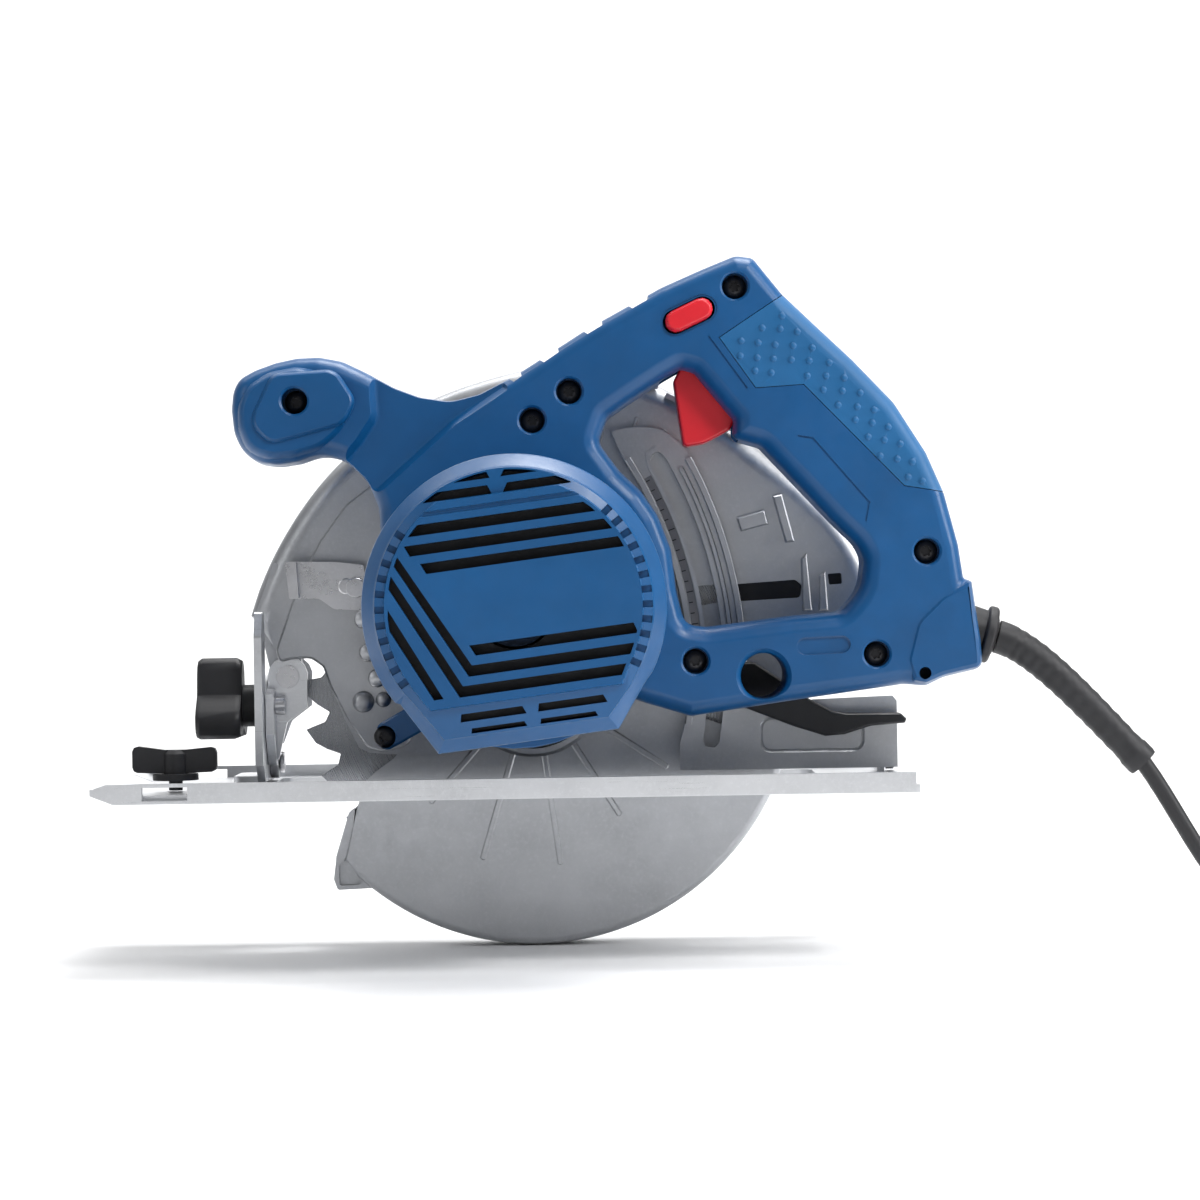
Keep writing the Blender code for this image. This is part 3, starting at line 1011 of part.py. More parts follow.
def build_cable():
    # gland in the end of the handle
    profile = [(3.5, -12.0), (8.0, -12.0), (8.0, -4.6), (10.6, -4.2), (9.0, 5.2), (9.3, 5.4), (9.3, 9.2), (3.5, 9.2)]
    gland = lathe("cord_gland", profile, (0, 0), GLAND, axis="X", n=18)
    finish(gland, "black_rubber", True)
    line = sleeve_line()
    verts, faces = [], []
    n = 12
    for i, p in enumerate(line):
        q, s = line[min(i + 1, len(line) - 1)], line[max(i - 1, 0)]
        d = (Vector(q) - Vector(s)).normalized()
        side, up = Vector((0, 1, 0)), d.cross(Vector((0, 1, 0)))
        r = 6.4 - 0.5 * i / (len(line) - 1)
        for ring in (r, CORD_R + 0.3):
            for k in range(n):
                t = 2 * math.pi * k / n
                verts.append(tuple(Vector(p) + side * (ring * math.cos(t)) + up * (ring * math.sin(t))))
    m = len(line)
    for i in range(m - 1):
        for k in range(n):
            j = (k + 1) % n
            b0, b1 = i * 2 * n, (i + 1) * 2 * n
            faces.append((b0 + k, b0 + j, b1 + j, b1 + k))
            faces.append((b0 + n + k, b1 + n + k, b1 + n + j, b0 + n + j))
    for b, flip in ((0, 1), ((m - 1) * 2 * n, 0)):
        for k in range(n):
            j = (k + 1) % n
            faces.append((b + k, b + n + k, b + n + j, b + j))
    sleeve = new_object("bend_protector", verts, faces, WORLD)
    finish(sleeve, "black_rubber", True)
    # the lead: from inside the handle, through the sleeve, down to the floor and up to the coil
    z = FLOOR_Z + CORD_R + 0.1
    knots = [(163.4, SPLIT_Y, 61.8), (174.0, SPLIT_Y, 58.9)] + sleeve_line() + bezier((241.0, SPLIT_Y, 7.0), (258.0, SPLIT_Y, -16.6), (272.0, SPLIT_Y, z + 1.5), (303.0, SPLIT_Y, z), 9)[1:]
    tube("cord_lead", knots, CORD_R, "black_rubber", 2)
    # the rest of the lead is wound up beside the saw
    r0, r1 = COIL_MID_R - COIL_HALF_WIDTH, COIL_MID_R + COIL_HALF_WIDTH
    low, top = FLOOR_Z + 0.1, FLOOR_Z + 0.1 + COIL_HEIGHT
    coil = lathe("cord_coil", [(r0, low), (r1 - 2.5, low), (r1, low + 2.5), (r1, top - 2.5), (r1 - 2.5, top), (r0, top)], (COIL_X, COIL_Y), WORLD, axis="Z", n=28)
    finish(coil, "black_rubber", True)
    start = (COIL_X + r1 + 3.6, COIL_Y + 14.0, FLOOR_Z + 19.0)
    tail = bezier(start, (start[0], start[1] + 26.0, FLOOR_Z + 14.0), (PLUG_X, PLUG_Y - 40.0, z + 6.0), (PLUG_X, PLUG_Y - 5.2, FLOOR_Z + 17.6), 8)
    tube("cord_tail", tail, CORD_R, "black_rubber", 2)
    # moulded two-pin plug with its own tapered sleeve
    c = (PLUG_X, FLOOR_Z + 17.6)
    plug = lathe("mains_plug", [(0, PLUG_Y - 3.6), (4.6, PLUG_Y - 3.6), (6.4, PLUG_Y + 20.0), (11.0, PLUG_Y + 24.0), (17.4, PLUG_Y + 34.0), (17.4, PLUG_Y + 47.0), (16.0, PLUG_Y + 49.0), (0, PLUG_Y + 49.0)], c, WORLD, n=20)
    add(
        plug,
        many(
            "plug_pins",
            [
                (circle(c[0] - 9.5, c[1], 2.4, 10), PLUG_Y + 46.0, PLUG_Y + 68.0, WORLD, "Y"),
                (circle(c[0] + 9.5, c[1], 2.4, 10), PLUG_Y + 46.0, PLUG_Y + 68.0, WORLD, "Y"),
            ],
        ),
    )
    finish(plug, "black_rubber", True)


build_sole()
build_front_quadrant()
build_guide_clamp_screw()
build_tilt_bracket()
build_depth_arm()
build_carriage_pins()
build_bevel_knob()
build_upper_guard()
build_gear_housing()
build_bearing_bridge()
build_spindle_lock()
build_spindle()
build_blade()
build_armature()
build_motor()
build_motor_cap()
build_shell(True)
build_shell(False)
build_grip_pad(True)
build_grip_pad(False)
build_handle_screws()
build_switch_and_trigger()
build_depth_clamp()
build_lower_guard()
build_guard_spring()
build_cable()

bpy.context.view_layer.update()
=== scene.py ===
"""Looks of the hand-held circular saw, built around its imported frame. Metres; helpers take millimetres."""

import json
import math

import bmesh
import bpy
from mathutils import Matrix, Vector, noise


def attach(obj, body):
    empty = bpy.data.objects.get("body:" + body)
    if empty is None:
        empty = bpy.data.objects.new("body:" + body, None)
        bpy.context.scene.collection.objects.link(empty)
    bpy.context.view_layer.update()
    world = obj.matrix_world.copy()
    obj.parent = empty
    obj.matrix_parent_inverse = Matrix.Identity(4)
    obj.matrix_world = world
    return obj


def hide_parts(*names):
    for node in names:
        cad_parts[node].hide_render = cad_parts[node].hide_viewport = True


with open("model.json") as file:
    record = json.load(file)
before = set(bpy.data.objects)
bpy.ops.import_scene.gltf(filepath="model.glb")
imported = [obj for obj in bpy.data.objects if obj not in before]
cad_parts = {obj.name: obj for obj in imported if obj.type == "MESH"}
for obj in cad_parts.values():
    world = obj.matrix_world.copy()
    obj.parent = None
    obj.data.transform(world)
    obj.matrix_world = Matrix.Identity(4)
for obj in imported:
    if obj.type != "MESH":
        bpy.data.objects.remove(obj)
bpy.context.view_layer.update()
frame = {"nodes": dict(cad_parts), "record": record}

NODES = frame["nodes"]
BODY = {n: b for b, ns in frame["record"]["behaviour"]["bodies"].items() for n in ns}
SLOT = {s["node"]: s["material_slot"] for s in frame["record"]["subparts"]}

MM = 0.001
T = math.radians(7.1)
WORLD = Matrix.Identity(4)
HEAD = Matrix.Translation((0.0092, 0, 0.0404)) @ Matrix.Rotation(-T, 4, "Y")
GLAND = Matrix.Translation((0.1760, -0.0150, 0.0584)) @ Matrix.Rotation(math.radians(15.0), 4, "Y")
MOTOR_V, SPLIT_Y = 30.0, -15.0


# ==================================================================================================
# Outline helpers
# ==================================================================================================
def arc(cx, cy, r, a0, a1, n):
    return [
        (cx + r * math.cos(math.radians(a0 + (a1 - a0) * i / n)), cy + r * math.sin(math.radians(a0 + (a1 - a0) * i / n)))
        for i in range(n + 1)
    ]


def circle(cx, cy, r, n, start=0.0):
    return arc(cx, cy, r, start, start + 360.0, n)[:-1]


def fillet(points, default=0.0, n=3):
    out = []
    count = len(points)
    for i in range(count):
        p = Vector(points[i][:2])
        r = points[i][2] if len(points[i]) > 2 else default
        a = Vector(points[i - 1][:2]) - p
        b = Vector(points[(i + 1) % count][:2]) - p
        if r <= 0 or a.length < 1e-6 or b.length < 1e-6:
            out.append((p.x, p.y))
            continue
        la, lb = a.length, b.length
        a.normalize()
        b.normalize()
        half = math.acos(max(-1.0, min(1.0, a.dot(b)))) / 2
        if half > math.radians(88.5):
            out.append((p.x, p.y))
            continue
        back = min(r / math.tan(half), 0.46 * la, 0.46 * lb)
        r = back * math.tan(half)
        centre = p + (a + b).normalized() * (r / math.sin(half))
        s, e = p + a * back - centre, p + b * back - centre
        a0, a1 = math.atan2(s.y, s.x), math.atan2(e.y, e.x)
        turn = (a1 - a0 + math.pi) % (2 * math.pi) - math.pi
        for k in range(n + 1):
            t = a0 + turn * k / n
            out.append((centre.x + r * math.cos(t), centre.y + r * math.sin(t)))
    return out


def area(points):
    return 0.5 * sum(points[i - 1][0] * points[i][1] - points[i][0] * points[i - 1][1] for i in range(len(points)))


def inset(points, d):
    if area(points) < 0:
        points = points[::-1]
    out = []
    count = len(points)
    for i in range(count):
        p = Vector(points[i][:2])
        a = (p - Vector(points[i - 1][:2])).normalized()
        b = (Vector(points[(i + 1) % count][:2]) - p).normalized()
        na, nb = Vector((-a.y, a.x)), Vector((-b.y, b.x))
        m = na + nb
        m = m / max(0.35, 1 + na.dot(nb))
        out.append((p.x + m.x * d, p.y + m.y * d))
    return out


def shrunk(points, d, n=4, soft=14.0):
    """The outline moved inwards by d with its corners rounded; unmarked corners are faired."""
    if area(points) < 0:
        points = points[::-1]
    moved = inset([q[:2] for q in points], d)
    out = []
    for i, q in enumerate(points):
        r = q[2] if len(q) > 2 else soft
        if r > 0:
            a = Vector(q[:2]) - Vector(points[i - 1][:2])
            b = Vector(points[(i + 1) % len(points)][:2]) - Vector(q[:2])
            r = max(0.4, r - d if a.cross(b) > 0 else r + d)
        out.append((moved[i][0], moved[i][1], r))
    return fillet(out, 0.0, n)


def slot(x0, y0, x1, y1, r, n=8):
    a = math.degrees(math.atan2(y1 - y0, x1 - x0))
    return arc(x1, y1, r, a - 90, a + 90, n) + arc(x0, y0, r, a + 90, a + 270, n)


def head_to_world(u, v):
    return 9.2 + u * math.cos(T) - v * math.sin(T), 40.4 + u * math.sin(T) + v * math.cos(T)


def world_to_head(x, z):
    dx, dz = x - 9.2, z - 40.4
    return dx * math.cos(T) + dz * math.sin(T), -dx * math.sin(T) + dz * math.cos(T)


def nearest(points, u, v):
    """Distance from (u, v) to a closed outline."""
    best = 1e9
    q = Vector((u, v))
    for i in range(len(points)):
        a, b = Vector(points[i - 1][:2]), Vector(points[i][:2])
        ab = b - a
        t = max(0.0, min(1.0, (q - a).dot(ab) / max(1e-9, ab.length_squared)))
        best = min(best, (a + ab * t - q).length)
    return best


# ==================================================================================================
# Solids
# ==================================================================================================
def solid(name, verts, faces, frm):
    mesh = bpy.data.meshes.new(name)
    mesh.from_pydata([frm @ (Vector(p) * MM) for p in verts], [], faces)
    bm = bmesh.new()
    bm.from_mesh(mesh)
    bmesh.ops.remove_doubles(bm, verts=bm.verts, dist=1e-7)
    bent = []
    for f in bm.faces:
        if len(f.verts) == 4:
            f.normal_update()
            if max(abs((v.co - f.verts[0].co).dot(f.normal)) for v in f.verts) > 2e-6:
                bent.append(f)
    bmesh.ops.triangulate(bm, faces=bent)
    bmesh.ops.recalc_face_normals(bm, faces=bm.faces)
    bm.to_mesh(mesh)
    bm.free()
    obj = bpy.data.objects.new(name, mesh)
    bpy.context.scene.collection.objects.link(obj)
    return obj


def place(axis, a, b, c):
    return {"Y": (a, c, b), "X": (c, a, b), "Z": (a, b, c)}[axis]


def loft(name, rings, frm, axis="Y"):
    verts, faces = [], []
    n = len(rings[0][0])
    for points, c in rings:
        verts += [place(axis, p[0], p[1], c) for p in points]
    for k in range(len(rings) - 1):
        for i in range(n):
            j = (i + 1) % n
            faces.append((k * n + i, k * n + j, (k + 1) * n + j, (k + 1) * n + i))
    faces.append(tuple(range(n)))
    faces.append(tuple(range((len(rings) - 1) * n, len(rings) * n)))
    return solid(name, verts, faces, frm)


def prism(name, points, c0, c1, frm, axis="Y"):
    return loft(name, [(points, c0), (points, c1)], frm, axis)


def cylinder(name, centre, r, c0, c1, frm, axis="Y", n=32, start=0.0):
    return prism(name, circle(centre[0], centre[1], r, n, start), c0, c1, frm, axis)


def lathe(name, profile, centre, frm, axis="Y", n=48):
    closed = all(r > 0 for r, _ in profile)
    verts, faces, rows = [], [], []
    for r, c in profile:
        if r <= 0:
            rows.append([len(verts)])
            verts.append(place(axis, centre[0], centre[1], c))
            continue
        rows.append(list(range(len(verts), len(verts) + n)))
        for i in range(n):
            t = 2 * math.pi * i / n
            verts.append(place(axis, centre[0] + r * math.cos(t), centre[1] + r * math.sin(t), c))
    last = len(rows) if closed else len(rows) - 1
    for k in range(last):
        a, b = rows[k], rows[(k + 1) % len(rows)]
        for i in range(n):
            j = (i + 1) % n
            if len(a) == 1 and len(b) == 1:
                continue
            if len(a) == 1:
                faces.append((a[0], b[j], b[i]))
            elif len(b) == 1:
                faces.append((a[i], a[j], b[0]))
            else:
                faces.append((a[i], a[j], b[j], b[i]))
    return solid(name, verts, faces, frm)


def merge(name, objects):
    """Several separate closed bodies in one helper mesh."""
    verts, faces = [], []
    for o in objects:
        base = len(verts)
        verts += [tuple(v.co / MM) for v in o.data.vertices]
        faces += [tuple(base + i for i in f.vertices) for f in o.data.polygons]
        bpy.data.objects.remove(o, do_unlink=True)
    return solid(name, verts, faces, WORLD)


def bake(obj):
    """Applies the object's modifiers to its mesh."""
    graph = bpy.context.evaluated_depsgraph_get()
    mesh = bpy.data.meshes.new_from_object(obj.evaluated_get(graph), depsgraph=graph)
    old = obj.data
    obj.modifiers.clear()
    obj.data = mesh
    bpy.data.meshes.remove(old)
    obj.data.name = obj.name
    return obj


def boolean(obj, others, operation):
    for other in others:
        m = obj.modifiers.new("b", "BOOLEAN")
        m.operation = operation
        m.solver = "EXACT"
        m.object = other
        bake(obj)
        bpy.data.objects.remove(other, do_unlink=True)
    return obj


def cut(obj, *others):
    return boolean(obj, others, "DIFFERENCE")


def add(obj, *others):
    return boolean(obj, others, "UNION")


def tidy(obj, angle=0.6):
    bm = bmesh.new()
    bm.from_mesh(obj.data)
    bmesh.ops.remove_doubles(bm, verts=bm.verts, dist=2e-6)
    bmesh.ops.dissolve_degenerate(bm, edges=bm.edges, dist=2e-6)
    bmesh.ops.dissolve_limit(bm, angle_limit=math.radians(angle), verts=bm.verts, edges=bm.edges)
    bm.to_mesh(obj.data)
    bm.free()
    return obj


def soften(obj, width, segments=2, angle=32.0, smooth=38.0):
    """A small rounding on every real edge, then smooth shading."""
    if width > 0:
        m = obj.modifiers.new("edge", "BEVEL")
        m.limit_method = "ANGLE"
        m.angle_limit = math.radians(angle)
        m.width = width * MM
        m.segments = segments
        m.use_clamp_overlap = True
        bake(obj)
    obj.data.shade_smooth()
    obj.data.set_sharp_from_angle(angle=math.radians(smooth))
    m = obj.modifiers.new("normals", "WEIGHTED_NORMAL")
    m.keep_sharp = True
    bake(obj)
    return obj


# ==================================================================================================
# Materials
# ==================================================================================================
class Nodes:
    def __init__(self, name):
        self.mat = bpy.data.materials.new(name)
        self.mat.use_nodes = True
        self.tree = self.mat.node_tree
        self.shader = self.tree.nodes["Principled BSDF"]
        self.coords = self.tree.nodes.new("ShaderNodeTexCoord").outputs["Object"]
        self.normal = None

    def link(self, a, b):
        self.tree.links.new(a, b)

    def scaled(self, sx, sy, sz, turn=0.0):
        m = self.tree.nodes.new("ShaderNodeMapping")
        m.inputs["Scale"].default_value = (sx, sy, sz)
        m.inputs["Rotation"].default_value = (0, turn, 0)
        self.link(self.coords, m.inputs["Vector"])
        return m.outputs["Vector"]

    def noise(self, scale, detail=3.0, rough=0.55, vector=None, distortion=0.0):
        n = self.tree.nodes.new("ShaderNodeTexNoise")
        n.inputs["Scale"].default_value = scale
        n.inputs["Detail"].default_value = detail
        n.inputs["Roughness"].default_value = rough
        n.inputs["Distortion"].default_value = distortion
        self.link(vector or self.coords, n.inputs["Vector"])
        return n.outputs["Fac"]

    def cells(self, scale, vector=None):
        n = self.tree.nodes.new("ShaderNodeTexVoronoi")
        n.inputs["Scale"].default_value = scale
        self.link(vector or self.coords, n.inputs["Vector"])
        return n.outputs["Distance"]

    def span(self, value, low, high, a=0.3, b=0.7):
        m = self.tree.nodes.new("ShaderNodeMapRange")
        m.inputs["From Min"].default_value = a
        m.inputs["From Max"].default_value = b
        m.inputs["To Min"].default_value = low
        m.inputs["To Max"].default_value = high
        self.link(value, m.inputs["Value"])
        return m.outputs["Result"]

    def mix(self, value, one, two, a=0.3, b=0.7):
        m = self.tree.nodes.new("ShaderNodeValToRGB")
        m.color_ramp.elements[0].position = a
        m.color_ramp.elements[1].position = b
        m.color_ramp.elements[0].color = (*one, 1)
        m.color_ramp.elements[1].color = (*two, 1)
        self.link(value, m.inputs["Fac"])
        return m.outputs["Color"]

    def blend(self, factor, one, two):
        m = self.tree.nodes.new("ShaderNodeMix")
        m.data_type = "RGBA"
        self.link(factor, m.inputs[0])
        self.link(one, m.inputs[6])
        self.link(two, m.inputs[7])
        return m.outputs[2]

    def bump(self, height, strength, distance):
        n = self.tree.nodes.new("ShaderNodeBump")
        n.inputs["Strength"].default_value = strength
        n.inputs["Distance"].default_value = distance
        self.link(height, n.inputs["Height"])
        if self.normal is not None:
            self.link(self.normal, n.inputs["Normal"])
        self.normal = n.outputs["Normal"]
        self.link(self.normal, self.shader.inputs["Normal"])

    def set(self, **values):
        for key, value in values.items():
            self.shader.inputs[key.replace("_", " ")].default_value = value

    def to(self, socket, output):
        self.link(output, self.shader.inputs[socket])


def shade(rgb, k):
    return tuple(min(1.0, c * k) for c in rgb)


MATS = {}


def plastic(name, rgb, low, high, grain=0.35, grain_scale=2300.0, coat=0.0, contrast=0.16):
    """Moulded plastic: eroded fine grain, faint flow marks and rubbed patches."""
    n = Nodes(name)
    n.set(Specular_IOR_Level=0.38)
    blot = n.noise(46.0, 5.0, 0.6)
    flow = n.noise(9.0, 4.0, 0.5, n.scaled(1.0, 1.0, 3.0))
    base = n.mix(blot, shade(rgb, 1 - contrast), shade(rgb, 1 + contrast))
    worn = n.mix(flow, shade(rgb, 1 - contrast * 0.6), shade(rgb, 1 + contrast * 0.7))
    n.to("Base Color", n.blend(n.span(n.noise(21.0, 2.0), 0.2, 0.8), base, worn))
    n.to("Roughness", n.span(n.noise(150.0, 6.0, 0.7), low, high, 0.25, 0.75))
    if coat:
        n.set(Coat_Weight=coat, Coat_Roughness=0.3)
    n.bump(n.noise(grain_scale, 3.0, 0.6), grain, 0.00006)
    n.bump(n.noise(420.0, 3.0, 0.5), 0.12, 0.00010)
    MATS[name] = n.mat
    return n


def metal(name, rgb, low, high, kind="cast", grain=0.3, metallic=1.0):
    n = Nodes(name)
    n.set(Metallic=metallic)
    blot = n.noise(30.0, 5.0, 0.62)
    fine = n.noise(700.0, 4.0, 0.6)
    n.to("Base Color", n.blend(n.span(fine, 0.0, 0.55), n.mix(blot, shade(rgb, 0.88), shade(rgb, 1.08)), n.mix(fine, shade(rgb, 0.84), shade(rgb, 1.1))))
    if kind == "cast":
        n.to("Roughness", n.span(n.noise(260.0, 6.0, 0.7), low, high, 0.25, 0.75))
        n.bump(n.noise(1500.0, 4.0, 0.65), grain, 0.00009)
        n.bump(n.noise(90.0, 3.0, 0.5), 0.15, 0.00035)
    elif kind == "brushed_x":
        lines = n.noise(1.0, 5.0, 0.7, n.scaled(14.0, 2600.0, 2600.0))
        n.to("Roughness", n.span(lines, low, high, 0.3, 0.7))
        n.bump(lines, grain, 0.00004)
        n.bump(n.noise(60.0, 2.0), 0.08, 0.0003)
    elif kind == "rolled":
        n.to("Roughness", n.span(n.noise(180.0, 5.0, 0.7), low, high, 0.3, 0.7))
        n.bump(n.noise(900.0, 3.0, 0.6), grain, 0.00005)
    MATS[name] = n.mat
    return n


def turned(name, rgb, low, high, cx, cz, grain=0.2, scale=3200.0):
    """Metal with rings about an axis along Y through (cx, cz), in metres."""
    n = Nodes(name)
    n.set(Metallic=1.0)
    shift = n.tree.nodes.new("ShaderNodeVectorMath")
    shift.operation = "SUBTRACT"
    shift.inputs[1].default_value = (cx, 0, cz)
    n.link(n.coords, shift.inputs[0])
    flat = n.tree.nodes.new("ShaderNodeVectorMath")
    flat.operation = "MULTIPLY"
    flat.inputs[1].default_value = (1, 0, 1)
    n.link(shift.outputs[0], flat.inputs[0])
    size = n.tree.nodes.new("ShaderNodeVectorMath")
    size.operation = "LENGTH"
    n.link(flat.outputs[0], size.inputs[0])
    ring = n.tree.nodes.new("ShaderNodeTexNoise")
    ring.noise_dimensions = "1D"
    ring.inputs["Scale"].default_value = scale
    ring.inputs["Detail"].default_value = 4.0
    n.link(size.outputs["Value"], ring.inputs["W"])
    blot = n.noise(40.0, 5.0, 0.6)
    n.to("Base Color", n.mix(blot, shade(rgb, 0.86), shade(rgb, 1.1)))
    n.to("Roughness", n.span(ring.outputs["Fac"], low, high, 0.3, 0.7))
    n.bump(ring.outputs["Fac"], grain, 0.00005)
    MATS[name] = n.mat
    return n


BLUE = (0.0022, 0.070, 0.205)
plastic("blue_plastic", BLUE, 0.30, 0.46, grain=0.30, coat=0.15)
plastic("blue_soft_grip", (0.0040, 0.100, 0.260), 0.40, 0.56, grain=0.42, grain_scale=1900.0, contrast=0.14).set(Sheen_Weight=0.15)
plastic("red_plastic", (0.62, 0.012, 0.022), 0.30, 0.42, grain=0.22, coat=0.2, contrast=0.10)
plastic("black_plastic", (0.014, 0.014, 0.016), 0.36, 0.55, grain=0.40, contrast=0.35)
plastic("grey_plastic", (0.20, 0.20, 0.21), 0.45, 0.6)
plastic("black_rubber", (0.016, 0.016, 0.018), 0.42, 0.60, grain=0.5, grain_scale=1600.0, contrast=0.3)
plastic("carbon", (0.03, 0.03, 0.032), 0.5, 0.65, grain=0.6)
metal("cast_aluminium", (0.46, 0.47, 0.49), 0.36, 0.52, "cast", 0.35)
metal("polished_aluminium", (0.66, 0.67, 0.69), 0.30, 0.42, "rolled", 0.18)
metal("stamped_sheet", (0.72, 0.73, 0.75), 0.26, 0.40, "brushed_x", 0.25)
metal("plated_steel", (0.66, 0.66, 0.68), 0.22, 0.38, "rolled", 0.15)
metal("black_steel", (0.035, 0.035, 0.038), 0.30, 0.45, "rolled", 0.2, metallic=0.8)
metal("core_steel", (0.20, 0.20, 0.21), 0.4, 0.6, "rolled", 0.3)
metal("brass", (0.62, 0.45, 0.16), 0.28, 0.42, "rolled", 0.2)
turned("blade_steel", (0.34, 0.35, 0.37), 0.22, 0.36, 0.0092, 0.0404)
turned("copper", (0.72, 0.35, 0.18), 0.3, 0.42, 0.00549, 0.07017, scale=2000.0)


def dress(obj, mat, body, nodes=()):
    obj.data.materials.clear()
    obj.data.materials.append(MATS[mat])
    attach(obj, body)
    if nodes:
        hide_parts(*nodes)
    return obj


def refine(node, width=0.4, segments=2, angle=32.0, mat=None):
    """A finer copy of a CAD node, with its edges rounded."""
    src = NODES[node]
    obj = bpy.data.objects.new(node + "_fine", src.data.copy())
    bpy.context.scene.collection.objects.link(obj)
    tidy(obj)
    soften(obj, width, segments, angle)
    return dress(obj, mat or SLOT[node], BODY[node], [node])


# ==================================================================================================
# Camera, floor and light
# ==================================================================================================
camera = bpy.data.objects.new("camera", bpy.data.cameras.new("camera"))
bpy.context.scene.collection.objects.link(camera)
camera.data.lens = 113.85
camera.data.sensor_width = 36.0
camera.data.clip_start = 0.05
camera.data.clip_end = 30.0
camera.matrix_world = Matrix.Translation((0.0358, -1.455, 0.072)) @ Matrix.Rotation(math.radians(90), 4, "X") @ Matrix.Rotation(math.radians(-0.93), 4, "Z")
bpy.context.scene.camera = camera

FLOOR = -0.0631


def build_floor():
    rows = [(-4.0, 0.0), (-0.5, 0.0), (1.2, 0.0)]
    for i in range(1, 13):
        a = math.radians(90 * i / 12)
        rows.append((1.2 + 1.0 * math.sin(a), 1.0 * (1 - math.cos(a))))
    rows.append((2.2, 4.0))
    verts, faces = [], []
    for y, z in rows:
        verts += [(-5.0, y, FLOOR + z), (5.0, y, FLOOR + z)]
    for i in range(len(rows) - 1):
        faces.append((2 * i, 2 * i + 1, 2 * i + 3, 2 * i + 2))
    mesh = bpy.data.meshes.new("floor")
    mesh.from_pydata(verts, [], faces)
    mesh.shade_smooth()
    obj = bpy.data.objects.new("floor", mesh)
    bpy.context.scene.collection.objects.link(obj)
    n = Nodes("floor_paper")
    n.to("Base Color", n.mix(n.noise(3.0, 3.0), (0.90, 0.90, 0.90), (0.93, 0.93, 0.93)))
    n.set(Roughness=0.7)
    mesh.materials.append(n.mat)


build_floor()


def softbox(name, place_at, aim, size, energy, tint=(1, 1, 1)):
    light = bpy.data.lights.new(name, "AREA")
    light.shape = "RECTANGLE"
    light.size, light.size_y = size
    light.energy = energy
    light.color = tint
    obj = bpy.data.objects.new(name, light)
    bpy.context.scene.collection.objects.link(obj)
    direction = Vector(aim) - Vector(place_at)
    obj.matrix_world = Matrix.Translation(place_at) @ direction.to_track_quat("-Z", "Y").to_matrix().to_4x4()


softbox("key_top", (0.25, 0.15, 1.25), (0.05, 0.0, 0.08), (0.8, 0.5), 12.5)
softbox("key_front", (0.65, -0.85, 0.95), (0.05, 0.0, 0.06), (0.3, 0.3), 9.0)
softbox("left", (-1.20, -0.85, 0.65), (-0.05, 0.0, 0.08), (0.5, 0.7), 2.2)
softbox("right", (1.10, -0.25, 0.55), (0.10, 0.0, 0.08), (0.3, 0.7), 8.0)
softbox("backdrop", (0.0, 0.75, 1.9), (0.0, 2.0, 0.3), (3.0, 0.6), 46.0)
world = bpy.data.worlds.new("studio")
world.use_nodes = True
world.node_tree.nodes["Background"].inputs["Color"].default_value = (0.95, 0.97, 1.0, 1)
world.node_tree.nodes["Background"].inputs["Strength"].default_value = 0.27
bpy.context.scene.world = world
bpy.context.scene.view_settings.view_transform = "Standard"

# ==================================================================================================
# The lead: one real length of round rubber cable
# ==================================================================================================
FLOOR_Z = -62.9
CORD_R = 3.2
COIL = (328.0, 31.0)
RADII = (45.9, 39.3, 32.7, 26.1)
PLUG_X, PLUG_Y = 378.0, 118.0


def bezier(p0, p1, p2, p3, n):
    out = []
    for i in range(n + 1):
        t = i / n
        out.append(tuple((1 - t) ** 3 * a + 3 * (1 - t) ** 2 * t * b + 3 * (1 - t) * t * t * c + t ** 3 * d for a, b, c, d in zip(p0, p1, p2, p3)))
    return out


def sleeve_line(n=9):
    return bezier((186.2, SPLIT_Y, 55.7), (201.5, SPLIT_Y, 51.5), (222.0, SPLIT_Y, 27.0), (241.0, SPLIT_Y, 7.0), n)


def ease(t):
    return t * t * (3 - 2 * t)


def coil_points(step=15.0):
    """Turns laid side by side and layer on layer; a turn moves over, or up, only where its neighbours leave room."""
    moves = []
    for start in (240, 600, 960):
        moves.append((start, "in"))
    moves.append((1260, "up"))
    for start in (1560, 1920, 2280):
        moves.append((start, "out"))
    moves.append((2520, "up"))
    for start in (2880, 3240, 3600):
        moves.append((start, "in"))
    moves.append((3900, "up"))
    for start in (4200, 4560, 4920):
        moves.append((start, "out"))
    out = []
    psi = 0.0
    while psi <= 5130.0 + 1e-6:
        r, z = RADII[0], 0.0
        for start, what in moves:
            k = ease(max(0.0, min(1.0, (psi - start + 60.0) / 180.0)))
            if what == "up":
                z += 6.6 * k
            else:
                r += (-6.6 if what == "in" else 6.6) * k
        a = math.radians(-90.0 + psi)
        out.append((COIL[0] + r * math.cos(a), COIL[1] + r * math.sin(a), FLOOR_Z + 0.1 + CORD_R + z))
        psi += step
    return out


